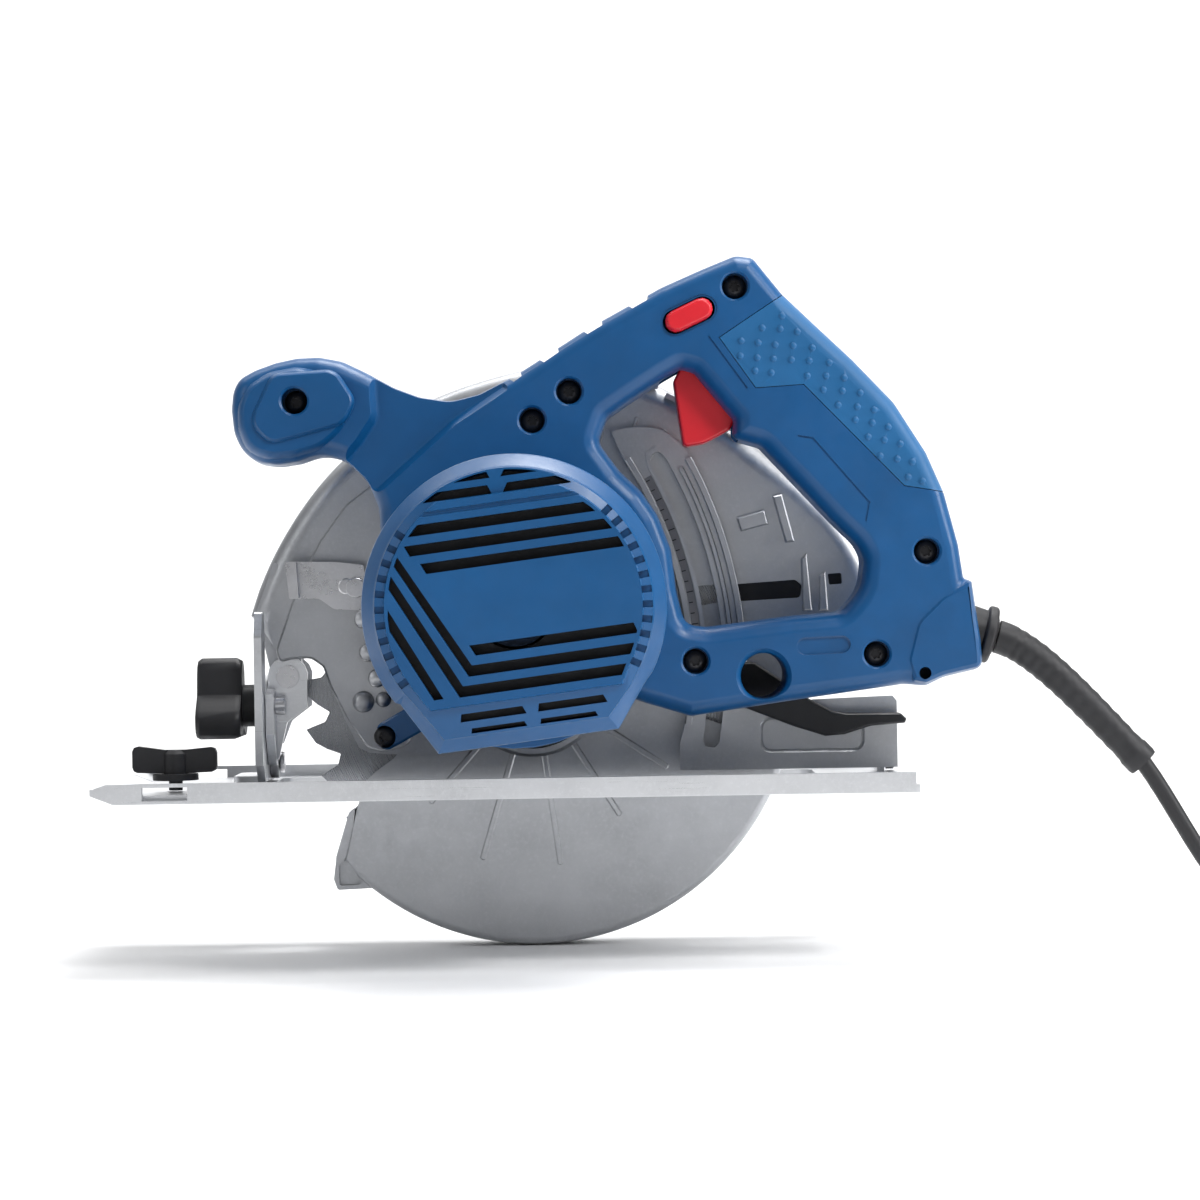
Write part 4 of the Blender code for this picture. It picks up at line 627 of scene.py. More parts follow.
def build_lead():
    z = FLOOR_Z + CORD_R + 0.1
    pts = [(176.0, SPLIT_Y, 58.4), (180.0, SPLIT_Y, 57.35)] + sleeve_line(9)
    pts += bezier((241.0, SPLIT_Y, 7.0), (258.0, SPLIT_Y, -16.6), (272.0, SPLIT_Y, z + 1.5), (303.0, SPLIT_Y, z), 14)[1:]
    first = coil_points()
    pts += [(316.0, SPLIT_Y + 0.03, z)] + first
    last = first[-1]
    tail = bezier(last, (last[0], last[1] + 30.0, last[2] - 0.5), (PLUG_X, PLUG_Y - 44.0, FLOOR_Z + 18.0), (PLUG_X, PLUG_Y - 5.2, FLOOR_Z + 17.6), 9)[1:]
    pts += tail + [(PLUG_X, PLUG_Y + 2.0, FLOOR_Z + 17.6)]
    curve = bpy.data.curves.new("mains_lead", "CURVE")
    curve.dimensions = "3D"
    curve.use_fill_caps = True
    curve.bevel_depth = CORD_R * MM
    curve.bevel_resolution = 4
    curve.twist_mode = "MINIMUM"
    spline = curve.splines.new("POLY")
    spline.points.add(len(pts) - 1)
    for point, p in zip(spline.points, pts):
        point.co = (p[0] * MM, p[1] * MM, p[2] * MM, 1)
    spline.use_smooth = True
    length = sum((Vector(a) - Vector(b)).length for a, b in zip(pts, pts[1:])) * MM
    obj = bpy.data.objects.new("mains_lead", curve)
    bpy.context.scene.collection.objects.link(obj)
    curve.materials.append(MATS["black_rubber"])
    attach(obj, "head")
    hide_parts("cord_lead", "cord_coil", "cord_tail")
    return obj, pts, length


lead, LEAD_POINTS, LEAD_LENGTH = build_lead()
print("lead length", LEAD_LENGTH)

# ---- what is on the lead ---------------------------------------------------------------------------
def build_sleeve():
    """Tapered bend protector with grooves moulded round it and a collar at its end."""
    line = sleeve_line(60)
    verts, faces = [], []
    n = 28
    rings = []
    total = len(line) - 1
    for i, p in enumerate(line):
        q, s = line[min(i + 1, total)], line[max(i - 1, 0)]
        d = (Vector(q) - Vector(s)).normalized()
        t = i / total
        r = 6.35 - 0.55 * t
        if 0.12 < t < 0.90:
            r -= 0.28 * (0.5 + 0.5 * math.cos(2 * math.pi * i / 4.0))
        if t > 0.93:
            r = 6.3 if t < 0.985 else 6.0
        rings.append((Vector(p), d, r))
    seq = [(c, d, r) for c, d, r in rings] + [(c, d, CORD_R + 0.15) for c, d, r in rings[::-1]]
    side = Vector((0, 1, 0))
    for c, d, r in seq:
        up = d.cross(side)
        for k in range(n):
            t = 2 * math.pi * k / n
            verts.append(tuple(c + side * (r * math.cos(t)) + up * (r * math.sin(t))))
    m = len(seq)
    for i in range(m):
        for k in range(n):
            j = (k + 1) % n
            a, b = i * n, ((i + 1) % m) * n
            faces.append((a + k, a + j, b + j, b + k))
    obj = solid("bend_protector_fine", verts, faces, WORLD)
    soften(obj, 0.0)
    return dress(obj, "black_rubber", "head", ["bend_protector"])


def build_gland():
    profile = [(3.5, -12.0), (7.8, -12.0), (7.8, -4.6), (9.0, -4.6), (10.4, -4.2), (10.4, -3.4), (9.6, -2.6), (9.0, 4.0), (8.9, 5.0), (10.6, 5.4), (10.9, 6.2), (10.9, 8.2), (10.2, 9.0), (8.4, 9.2), (6.6, 9.9), (3.5, 9.9)]
    obj = lathe("cord_gland_fine", profile, (0, 0), GLAND, "X", 40)
    soften(obj, 0.25, 1)
    return dress(obj, "black_rubber", "head", ["cord_gland"])


def build_plug():
    c = (PLUG_X, FLOOR_Z + 17.6)
    profile = [(0, PLUG_Y - 3.4), (3.3, PLUG_Y - 3.4), (4.6, PLUG_Y - 3.2)]
    for i in range(7):
        y = PLUG_Y - 1.0 + i * 3.0
        r = 4.75 + 0.25 * i
        profile += [(r, y), (r + 0.25, y + 0.5), (r + 0.25, y + 1.5), (r - 0.25, y + 1.9), (r - 0.25, y + 2.6)]
    profile += [(6.8, PLUG_Y + 20.6), (8.6, PLUG_Y + 22.6), (11.0, PLUG_Y + 24.6), (13.2, PLUG_Y + 27.5), (15.4, PLUG_Y + 31.0), (16.9, PLUG_Y + 34.2), (17.3, PLUG_Y + 37.0), (17.3, PLUG_Y + 46.6), (16.9, PLUG_Y + 48.0), (15.8, PLUG_Y + 48.8), (0, PLUG_Y + 48.8)]
    obj = lathe("mains_plug_fine", profile, c, WORLD, "Y", 48)
    grips = []
    for side in (-1, 1):
        for k in range(4):
            y = PLUG_Y + 33.5 + k * 3.2
            grips.append(prism("g", [(c[0] - 14.0, c[1] + side * 16.3), (c[0] + 14.0, c[1] + side * 16.3), (c[0] + 14.0, c[1] + side * 19.0), (c[0] - 14.0, c[1] + side * 19.0)], y, y + 1.2, WORLD))
    cut(obj, merge("plug_grips", grips))
    tidy(obj)
    soften(obj, 0.3, 2)
    dress(obj, "black_rubber", "head", ["mains_plug"])
    pins = []
    for side in (-1, 1):
        x = c[0] + 9.5 * side
        pin = lathe("plug_pin_" + ("a" if side < 0 else "b"), [(0, PLUG_Y + 47.0), (2.4, PLUG_Y + 47.0), (2.4, PLUG_Y + 66.4), (1.9, PLUG_Y + 67.4), (0, PLUG_Y + 67.9)], (x, c[1]), WORLD, "Y", 20)
        soften(pin, 0.0)
        dress(pin, "brass", "head")
        pins.append(pin)
    return obj, pins


def build_tie():
    """A strap round the coil."""
    a = math.radians(150.0)
    ring = []
    r0, r1 = RADII[3] - CORD_R - 0.2, RADII[0] + CORD_R + 0.2
    low, top = FLOOR_Z - 0.1, FLOOR_Z + 0.1 + 26.4 + 0.2
    section = fillet([(r0 - 0.9, low - 0.02), (r1 + 0.9, low - 0.02), (r1 + 0.9, top + 0.9), (r0 - 0.9, top + 0.9)], 4.0, 5)
    inner = fillet([(r0, low + 0.08), (r1, low + 0.08), (r1, top), (r0, top)], 3.2, 5)
    verts, faces = [], []
    n = len(section)
    tangent = Vector((-math.sin(a), math.cos(a), 0))
    outward = Vector((math.cos(a), math.sin(a), 0))
    for pts, off in ((section, -4.5), (section, 4.5), (inner, 4.5), (inner, -4.5)):
        for r, z in pts:
            p = Vector((COIL[0], COIL[1], z)) + outward * r + tangent * off
            verts.append(tuple(p))
    for s in range(4):
        b0, b1 = s * n, ((s + 1) % 4) * n
        for i in range(n):
            j = (i + 1) % n
            faces.append((b0 + i, b0 + j, b1 + j, b1 + i))
    obj = solid("coil_strap", verts, faces, WORLD)
    soften(obj, 0.0)
    return dress(obj, "black_plastic", "head")


sleeve = build_sleeve()
gland = build_gland()
plug, pins = build_plug()
strap = build_tie()

# ==================================================================================================
# Handle mouldings
# ==================================================================================================
BODY_POINTS = [
    (58.0, -20.2, 4), (100.0, -19.6), (139.0, -19.4), (147.0, -21.2, 4), (154.0, -18.9), (169.6, -17.4, 4), (170.2, -6.0), (169.7, 16.2, 2),
    (167.0, 17.0), (166.8, 30.0), (164.2, 50.0), (159.6, 66.0), (150.2, 86.3), (137.0, 104.4), (124.0, 120.4), (114.4, 132.4),
    (105.2, 147.6, 4), (98.6, 149.4, 6), (85.4, 146.0), (69.4, 141.4), (40.0, 130.0), (10.6, 116.4), (-4.0, 111.2), (-15.0, 110.0), (-26.0, 113.2),
    (-35.0, 118.0), (-44.5, 125.0), (-53.0, 130.6), (-61.5, 133.4), (-70.0, 134.2), (-78.0, 133.6), (-86.0, 131.9), (-92.5, 129.4), (-95.6, 125.0),
    (-97.2, 118.0), (-97.4, 109.0), (-95.2, 102.0), (-90.0, 96.6), (-83.0, 94.9), (-75.0, 95.1), (-66.5, 96.8), (-57.5, 93.8),
    (-50.0, 84.0), (-47.4, 73.5), (-48.5, 61.0), (-53.0, 48.0), (-54.6, 36.0), (42.0, -13.0),
]
OPENING_POINTS = [
    (37.8, 87.0, 5), (44.2, 75.2), (51.4, 66.2), (56.4, 56.2), (59.4, 43.0), (59.2, 27.0), (60.6, 14.4, 8), (69.0, 12.2), (101.0, 12.0),
    (119.5, 11.0, 6), (128.0, 19.0), (130.6, 29.5), (129.0, 35.0), (120.8, 45.4), (108.2, 63.0), (98.2, 77.0, 5),
    (88.0, 81.4, 3), (89.4, 88.0, 2), (77.2, 107.6, 2), (72.5, 109.8, 3), (66.0, 107.2), (52.0, 100.6), (42.5, 95.8, 4),
]
GRIP_REGION = [(88.0, 119.2), (99.0, 98.4), (117.0, 97.2), (149.0, 54.4), (163.9, 50.0), (176.0, 62.0), (140.0, 130.0), (114.6, 132.2)]
SCREWS = {
    "handle_screw_knob": (-72.3, 117.5),
    "handle_screw_front": (14.5, 98.3),
    "handle_screw_beam": (29.7, 107.1),
    "handle_screw_top": (96.7, 137.4),
    "handle_screw_rear": (154.0, 29.1),
    "handle_screw_low_front": (62.6, 0.4),
    "handle_screw_low_rear": (130.1, -6.4),
}
PIPS = [
    (112.6, 123.8), (104.6, 120.4), (111.2, 119.1), (117.4, 117.1), (96.1, 116.7), (102.3, 115.1), (108.5, 113.5), (115.1, 112.2), (122.1, 110.4),
    (95.0, 111.2), (101.2, 109.6), (107.1, 108.4), (113.7, 107.1), (120.3, 105.8), (127.6, 104.0), (99.7, 104.9), (105.6, 103.3), (118.8, 100.3),
    (125.8, 99.3), (132.4, 97.6), (124.0, 94.3), (131.0, 92.9), (137.5, 91.2), (128.7, 87.9), (135.7, 86.2), (141.8, 84.2), (134.3, 81.5),
    (140.4, 79.5), (146.1, 77.1), (138.2, 74.5), (144.0, 72.5), (149.7, 70.2), (141.6, 66.8), (147.8, 64.8), (153.2, 62.9), (150.9, 57.6), (155.9, 55.3),
]
ROUND = 5.8


def body_rings(y, proud=0.0):
    rings = [(shrunk(BODY_POINTS, 0.0), y(0.15)), (shrunk(BODY_POINTS, 0.25), y(12.2))]
    for i in range(1, 9):
        a = math.radians(90.0 * i / 8)
        rings.append((shrunk(BODY_POINTS, 0.3 + ROUND * (1 - math.cos(a))), y(12.6 + 7.4 * math.sin(a))))
    return rings


def face_depth(u, v):
    """Depth from the split plane of the rounded outer face at a point."""
    d = nearest(BODY_POINTS, u, v) - 0.3
    if d >= ROUND:
        return 20.0
    return 12.6 + 7.4 * math.sin(math.acos(max(-1.0, min(1.0, 1 - max(0.0, d) / ROUND))))


def knob_ring(k):
    c = (-71.0, 114.5)
    pts = [(-95.6, 110.0), (-93.5, 101.5), (-86.5, 97.2), (-76.0, 96.6), (-64.0, 98.5), (-55.5, 104.0), (-51.5, 112.0), (-54.0, 121.0), (-60.5, 128.0), (-70.0, 131.0), (-81.0, 130.4), (-90.0, 126.4), (-94.8, 119.0)]
    return fillet([(c[0] + (p[0] - c[0]) * k, c[1] + (p[1] - c[1]) * k) for p in pts], 12.0, 3)


def build_shell(near):
    s = -1 if near else 1
    name = ("handle_shell_near" if near else "handle_shell_far") + "_fine"
    tag = "n" if near else "f"
    y = lambda d: SPLIT_Y + s * d
    obj = loft(name, body_rings(y), HEAD)
    rings = [(knob_ring(1.0), y(2.0)), (knob_ring(1.0), y(14.0))]
    for i in range(1, 7):
        a = math.radians(80.0 * i / 6)
        rings.append((knob_ring(1.0 - 0.19 * (1 - math.cos(a))), y(14.0 + 9.2 * math.sin(a))))
    facet = [(-79.0, 128.1, 5), (-56.0, 126.6, 6), (-50.4, 114.8, 5), (-55.4, 107.0, 6), (-83.2, 103.4, 6), (-89.6, 112.0, 7)]
    f0, f1 = shrunk(facet, -0.8, 5), shrunk(facet, 0.6, 5)
    add(obj, loft("knob_" + tag, rings, HEAD), loft("facet_" + tag, [(f0, y(16.0)), (f0, y(23.2)), (shrunk(facet, -0.2, 5), y(24.4)), (f1, y(25.0))], HEAD))
    # block round the way out of the lead
    block = [(167.8, 16.2, 2), (156.7, 12.1, 9), (146.1, 4.2, 9), (140.3, -10.2, 6), (141.6, -18.6, 2), (147.0, -20.4, 3), (154.0, -18.4), (168.9, -17.0, 3), (169.6, -6.0), (169.4, 15.8, 2)]
    add(obj, loft("block_" + tag, [(shrunk(block, 0.0), y(4.0)), (shrunk(block, 0.2), y(17.4)), (shrunk(block, 0.9), y(19.6)), (shrunk(block, 2.2), y(20.6))], HEAD))
    flare = [(shrunk(OPENING_POINTS, 0.0), y(-2.0)), (shrunk(OPENING_POINTS, 0.0), y(11.0))]
    for i in range(1, 8):
        a = math.radians(84.0 * i / 7)
        flare.append((shrunk(OPENING_POINTS, -5.6 * (1 - math.cos(a))), y(11.4 + 8.0 * math.sin(a))))
    flare += [(shrunk(OPENING_POINTS, -6.6), y(20.05)), (shrunk(OPENING_POINTS, -6.9), y(22.0))]
    cut(obj, loft("opening_" + tag, flare, HEAD), cylinder("motor_hole_" + tag, (0, MOTOR_V), 51.2, y(-3.0), y(24.0), HEAD, n=96))
    pocket = prism("pocket_" + tag, shrunk(BODY_POINTS, 6.2), y(-2.0), y(14.4), HEAD)
    cut(pocket, prism("keep_a", shrunk(OPENING_POINTS, -3.4), y(-4.0), y(24.0), HEAD))
    cut(pocket, cylinder("keep_b", (0, MOTOR_V), 54.6, y(-4.0), y(24.0), HEAD, n=64))
    posts = [cylinder("post", (u, v), 6.9, y(-4.0), y(24.0), HEAD, n=24) for u, v in SCREWS.values()]
    posts.append(cylinder("post", (87.1, -8.7), 11.6, y(-4.0), y(24.0), HEAD, n=32))
    cut(pocket, merge("posts_" + tag, posts))
    cut(obj, pocket)
    if near:
        outer = 25.6
        deep = []
        for key, (u, v) in SCREWS.items():
            top = 25.0 if key.endswith("knob") else 20.0
            deep.append(lathe("recess", [(0, y(13.2)), (4.9, y(13.2)), (4.9, y(top - 0.8)), (5.9, y(top + 0.2)), (5.9, y(outer + 2)), (0, y(outer + 2))], (u, v), HEAD, n=40))
        cut(obj, merge("recess_n", deep))
    cut(obj, merge("holes_" + tag, [cylinder("h", (u, v), 2.3, y(-3.0), y(14.0) if near else y(13.0), HEAD, n=20) for u, v in SCREWS.values()]))
    # the face between the knob and the motor lies deeper
    web = [(-46.0, 79.0, 2), (-41.5, 82.2, 2), (-14.4, 100.6, 10), (7.6, 110.9, 2), (9.0, 122.0), (-12.0, 122.0), (-30.0, 134.0), (-50.0, 140.0), (-44.0, 122.0, 4), (-45.0, 108.0, 6), (-52.0, 100.0, 6), (-64.0, 90.0), (-58.0, 78.0)]
    cut(obj, loft("web_" + tag, [(shrunk(web, 3.4), y(15.2)), (shrunk(web, 2.2), y(15.8)), (shrunk(web, 0.4), y(19.2)), (shrunk(web, -1.2), y(21.5))], HEAD))
    # notches moulded across the top of the beam
    notches = []
    for (u0, v0), (u1, v1) in (((8.4, 115.0), (12.4, 117.2)), ((20.6, 120.7), (27.6, 124.2)), ((38.4, 129.0), (45.4, 132.0)), ((56.4, 136.2), (63.8, 139.2))):
        d = Vector((u1 - u0, v1 - v0)).normalized()
        up = Vector((-d.y, d.x))
        a, b = Vector((u0, v0)), Vector((u1, v1))
        pts = [a + up * 3 - d * 1.5, a - up * 1.9 + d * 0.5, b - up * 1.9 - d * 0.5, b + up * 3 + d * 1.5]
        notches.append(prism("notch", [tuple(p) for p in pts], y(-1.0), y(20.8), HEAD))
    cut(obj, merge("notches_" + tag, notches))
    if near:
        cut(obj, prism("button_hole", slot(72.6, 127.2, 83.6, 130.7, 4.6, 12), y(10.0), y(30.0), HEAD))
        cut(obj, prism("button_dish", slot(72.6, 127.2, 83.6, 130.7, 5.5, 12), y(19.55), y(30.0), HEAD))
        pill = loft("pill", [(slot(104.0, 0.2, 117.6, -1.0, 2.6), y(18.9)), (slot(104.0, 0.2, 117.6, -1.0, 3.3), y(19.2)), (slot(104.0, 0.2, 117.6, -1.0, 3.5), y(30.0))], HEAD)
        cut(obj, pill, cylinder("small_hole", (147.0, -16.0), 2.3, y(10.0), y(30.0), HEAD, n=24))
    cut(obj, lathe("sight_hole_" + tag, [(0, y(-4.0)), (8.6, y(-4.0)), (8.6, y(17.6)), (9.2, y(18.8)), (10.6, y(20.2)), (10.6, y(30.0)), (0, y(30.0))], (87.1, -8.7), HEAD, n=64))
    cut(obj, prism("trigger_slot_" + tag, [(64.0, 100.0), (64.0, 117.0), (98.0, 119.0), (107.0, 100.0), (101.5, 84.5), (84.0, 78.0)], y(-3.0), y(8.6), HEAD))
    # seat of the soft pad, with a fine gap left round it
    region = prism("grip_region_" + tag, GRIP_REGION, y(0.1), y(30.0), HEAD)
    core = loft("grip_core_" + tag, [(shrunk(BODY_POINTS, 3.0), y(-3.0)), (shrunk(BODY_POINTS, 3.0), y(11.0)), (shrunk(BODY_POINTS, 5.2), y(17.2))], HEAD)
    cut(region, core)
    cut(obj, region)
    # shallow facet lines either side of the trigger and on the finger side
    lines = []
    for pts in (((66.0, 112.2), (84.6, 119.6), (95.6, 99.4)), ((112.8, 78.4), (117.6, 76.9), (135.1, 50.3), (133.0, 44.0))):
        for (u0, v0), (u1, v1) in zip(pts, pts[1:]):
            d = Vector((u1 - u0, v1 - v0)).normalized() * 0.6
            n = Vector((-d.y, d.x)).normalized() * 0.35
            lines.append(prism("line", [(u0 - d.x - n.x, v0 - d.y - n.y), (u1 + d.x - n.x, v1 + d.y - n.y), (u1 + d.x + n.x, v1 + d.y + n.y), (u0 - d.x + n.x, v0 - d.y + n.y)], y(19.5), y(23.0), HEAD))
    for line in lines[1:]:
        cut(obj, line)
    bpy.data.objects.remove(lines[0], do_unlink=True)
    cut(obj, cylinder("gland_way_" + tag, (0, 0), 8.4, -20.0, 12.0, GLAND, axis="X", n=40))
    cut(obj, cylinder("gland_seat_" + tag, (0, 0), 11.2, -5.0, 20.0, GLAND, axis="X", n=40))
    tidy(obj, 0.4)
    soften(obj, 0.35, 2, 34.0, 34.0)
    return dress(obj, "blue_plastic", "head", ["handle_shell_near" if near else "handle_shell_far"])


def build_grip(near):
    s = -1 if near else 1
    node = "grip_pad_near" if near else "grip_pad_far"
    y = lambda d: SPLIT_Y + s * d
    tag = "gn" if near else "gf"
    obj = loft(node + "_fine", body_rings(y), HEAD)
    region = prism("region_" + tag, inset(GRIP_REGION, 0.28), y(0.35), y(30.0), HEAD)
    core = loft("core_" + tag, [(shrunk(BODY_POINTS, 2.75), y(-3.0)), (shrunk(BODY_POINTS, 2.75), y(11.25)), (shrunk(BODY_POINTS, 4.95), y(17.45))], HEAD)
    boolean(obj, [region], "INTERSECT")
    cut(obj, core)
    tidy(obj, 0.4)
    soften(obj, 0.45, 2, 34.0, 34.0)
    pips = []
    for u, v in PIPS:
        d = face_depth(u, v)
        profile = [(0, y(d - 0.9)), (1.45, y(d - 0.9)), (1.45, y(d - 0.1)), (1.25, y(d + 0.25)), (0.85, y(d + 0.5)), (0.4, y(d + 0.62)), (0, y(d + 0.65))]
        pips.append(lathe("pip", profile, (u, v), HEAD, n=14))
    add(obj, merge("pips_" + tag, pips))
    bm = bmesh.new()
    bm.from_mesh(obj.data)
    bmesh.ops.triangulate(bm, faces=[f for f in bm.faces if len(f.verts) > 4], ngon_method="BEAUTY")
    bm.to_mesh(obj.data)
    bm.free()
    soften(obj, 0.0, smooth=30.0)
    return dress(obj, "blue_soft_grip", "head", [node])


def build_screws():
    """Black pan heads with a six-lobed socket."""
    for name, (u, v) in SCREWS.items():
        y0 = SPLIT_Y - 13.2
        obj = lathe(name + "_fine", [(0, y0 - 2.7), (2.2, y0 - 2.65), (3.4, y0 - 2.3), (4.2, y0 - 1.5), (4.4, y0 - 0.8), (4.4, y0), (2.0, y0), (2.0, SPLIT_Y + 12.0), (0, SPLIT_Y + 12.0)], (u, v), HEAD, n=40)
        star = []
        for k in range(36):
            a = 2 * math.pi * k / 36
            r = 1.75 + 0.38 * math.cos(6 * a)
            star.append((u + r * math.cos(a), v + r * math.sin(a)))
        cut(obj, prism("star", star, y0 - 5.0, y0 - 1.1, HEAD))
        soften(obj, 0.0)
        dress(obj, "black_steel", "head", [name])


def cap_outline(d=0.0, n=60):
    r = 54.0 - d
    left = [(-44.6 + d, 1.5), (-33.6 + 0.6 * d, -17.8 + d)]
    right = [(30.6 - 0.6 * d, -17.8 + d), (41.5 - d, -3.5)]
    return arc(0.0, MOTOR_V, r, -33.0, 211.0, n) + left + right


def band(y0, y1, v0, v1, v2, v3, x0=-70.0, x1=70.0, name="band"):
    """Bar across the cap: its section runs from (y0, v0..v1) to (y1, v2..v3)."""
    return prism(name, [(y0, v0), (y0, v1), (y1, v3), (y1, v2)], x0, x1, HEAD, "X")


def build_cap():
    rings = [(0.0, -104.9), (0.0, -117.0), (0.35, -118.2), (4.3, -124.6), (4.9, -125.4), (5.2, -127.0), (8.3, -128.6), (8.8, -130.0)]
    obj = loft("motor_cap_fine", [(cap_outline(d), y) for d, y in rings], HEAD)
    cut(obj, loft("cap_room", [(cap_outline(3.0), -100.0), (cap_outline(3.0), -117.4), (cap_outline(6.3), -122.6), (cap_outline(7.0), -124.2), (cap_outline(10.5), -124.6)], HEAD))
    # the top and bottom of the face fall away behind two ledges
    cut(obj, band(-131.0, -127.6, 69.6, 90.0, 70.4, 90.0), prism("fall_top", [(-131.0, 72.0), (-127.7, 72.0), (-126.0, 86.0), (-131.0, 86.0)], -70, 70, HEAD, "X"))
    cut(obj, prism("ledge_top", [(-131.0, 65.2), (-129.0, 65.6), (-129.0, 67.0), (-131.0, 67.4)], -60, 60, HEAD, "X"))
    cut(obj, prism("fall_low", [(-131.0, -1.6), (-128.0, -2.2), (-125.4, -17.0), (-125.4, -30.0), (-131.0, -30.0)], -70, 70, HEAD, "X"))
    # hollow bevel pockets down both sides
    pockets = []
    for i in range(12):
        pockets.append((38.0 - 6.4 * i, 2.5, 46.9))
    for i in range(11):
        pockets.append((140.0 + 6.7 * i, 2.5, 46.9))
    boxes = []
    for a, w, r in pockets:
        t = math.radians(a)
        out, side = Vector((math.cos(t), math.sin(t))), Vector((-math.sin(t), math.cos(t)))
        c = Vector((0.0, MOTOR_V))
        pts = [c + out * (r + i) + side * j for i, j in ((-1.7, -w / 2), (1.9, -w / 2), (1.9, w / 2), (-1.7, w / 2))]
        boxes.append(prism("pocket", [tuple(p) for p in pts], -131.0, -126.2, HEAD))
    cut(obj, merge("cap_pockets", boxes))
    cutters = []

    def bar(x0, y0, x1, y1, h, lean=1.0):
        cutters.append(prism("bar", [(x0, y0 - h / 2), (x1, y1 - h / 2), (x1 - 1.2, y1 + h / 2), (x0 + lean, y0 + h / 2)], -135.0, -112.0, HEAD))

    for v, x0, x1 in ((61.0, -37.0, 38.5), (54.2, -33.4, 40.0), (47.4, -28.6, 41.8)):
        bar(x0, v, x1, v, 3.8, -1.6)
    bar(-15.4, 16.8, 42.0, 16.8, 3.8, -1.8)
    for v, x0, x1 in ((77.4, -20.5, -2.0), (77.4, 1.8, 15.0), (71.8, -29.0, -2.0), (71.8, 1.8, 26.0)):
        bar(x0, v, x1, v, 3.2, 2.0)
    for v, x0, x1 in ((-6.2, -24.0, -0.6), (-6.2, 3.4, 28.0), (-11.6, -21.0, -0.6), (-11.6, 3.4, 24.5)):
        bar(x0, v, x1, v, 2.8, 0.6)
    # slanting slots that turn into level ones
    elbow = [(-40.6, 52.0), (-18.8, 7.9), (40.6, 7.9), (40.0, 11.7), (-17.2, 11.7), (-38.4, 54.0)]
    elbow2 = [(-43.6, 44.6), (-23.0, 1.1), (37.6, 1.1), (37.0, 4.9), (-21.3, 4.9), (-42.3, 49.4)]
    stub = [(-44.6, 28.6), (-32.0, 1.4), (-28.6, 1.4), (-43.6, 34.8)]
    for pts in (elbow, elbow2, stub):
        cutters.append(prism("elbow", pts, -135.0, -112.0, HEAD))
    rows = merge("cap_rows", cutters[4:12])
    boolean(rows, [loft("row_limit", [(cap_outline(5.8), -136.0), (cap_outline(5.8), -100.0)], HEAD)], "INTERSECT")
    slots = merge("cap_slots", cutters[:4] + cutters[12:])
    boolean(slots, [loft("slot_limit", [(cap_outline(9.9), -136.0), (cap_outline(9.9), -100.0)], HEAD)], "INTERSECT")
    add(obj, lathe("cap_seat", [(11.3, -124.9), (14.2, -124.9), (14.2, -110.6), (11.3, -110.6)], (0.0, MOTOR_V), HEAD, n=48))
    cut(obj, slots)
    cut(obj, rows)
    tidy(obj, 0.5)
    soften(obj, 0.3, 2, 30.0, 34.0)
    dress(obj, "blue_plastic", "head", ["motor_cap"])
    # black sheet behind the slots: painted shade, so the slots read dark
    shade_sheet = loft("cap_painted_shade", [(cap_outline(6.4, 40), -121.4), (cap_outline(6.4, 40), -120.6)], HEAD)
    cut(shade_sheet, cylinder("shade_sheet_hole", (0, MOTOR_V), 15.0, -125.0, -120.0, HEAD, n=40))
    soften(shade_sheet, 0.0)
    dress(shade_sheet, "black_plastic", "head")
    return obj


def build_trigger():
    """Curved red trigger; its pin is hidden in the handle."""
    trig = [(69.2, 106.0, 2), (73.0, 111.6, 3), (78.0, 110.2, 2), (89.0, 99.0), (93.0, 92.0, 2), (88.0, 85.0, 2), (78.0, 81.2), (69.4, 80.8, 2)]
    rings = [(shrunk(trig, d), SPLIT_Y + y) for d, y in ((1.2, -7.9), (0.4, -7.4), (0.0, -6.5), (0.0, 6.5), (0.4, 7.4), (1.2, 7.9))]
    obj = loft("trigger_fine", rings, HEAD)
    soften(obj, 0.0)
    return dress(obj, "red_plastic", "trigger", ["trigger"])


build_shell(True)
build_shell(False)
build_trigger()
build_grip(True)
build_grip(False)
build_screws()
build_cap()

# ==================================================================================================
# Guards
# ==================================================================================================
def radial(name, a, r0, r1, w, y0, y1, centre=(0.0, 0.0)):
    t = math.radians(a)
    out, side = Vector((math.cos(t), math.sin(t))), Vector((-math.sin(t), math.cos(t)))
    c = Vector(centre)
    foot = [c + out * r0 - side * w, c + out * r1 - side * w, c + out * (r1 + w * 0.6), c + out * r1 + side * w, c + out * r0 + side * w]
    top = [c + out * (r0 + 0.2) - side * w * 0.45, c + out * r1 - side * w * 0.45, c + out * (r1 + 0.2), c + out * r1 + side * w * 0.45, c + out * (r0 + 0.2) + side * w * 0.45]
    return loft(name, [([tuple(p) for p in foot], y1), ([tuple(p) for p in top], y0)], HEAD)


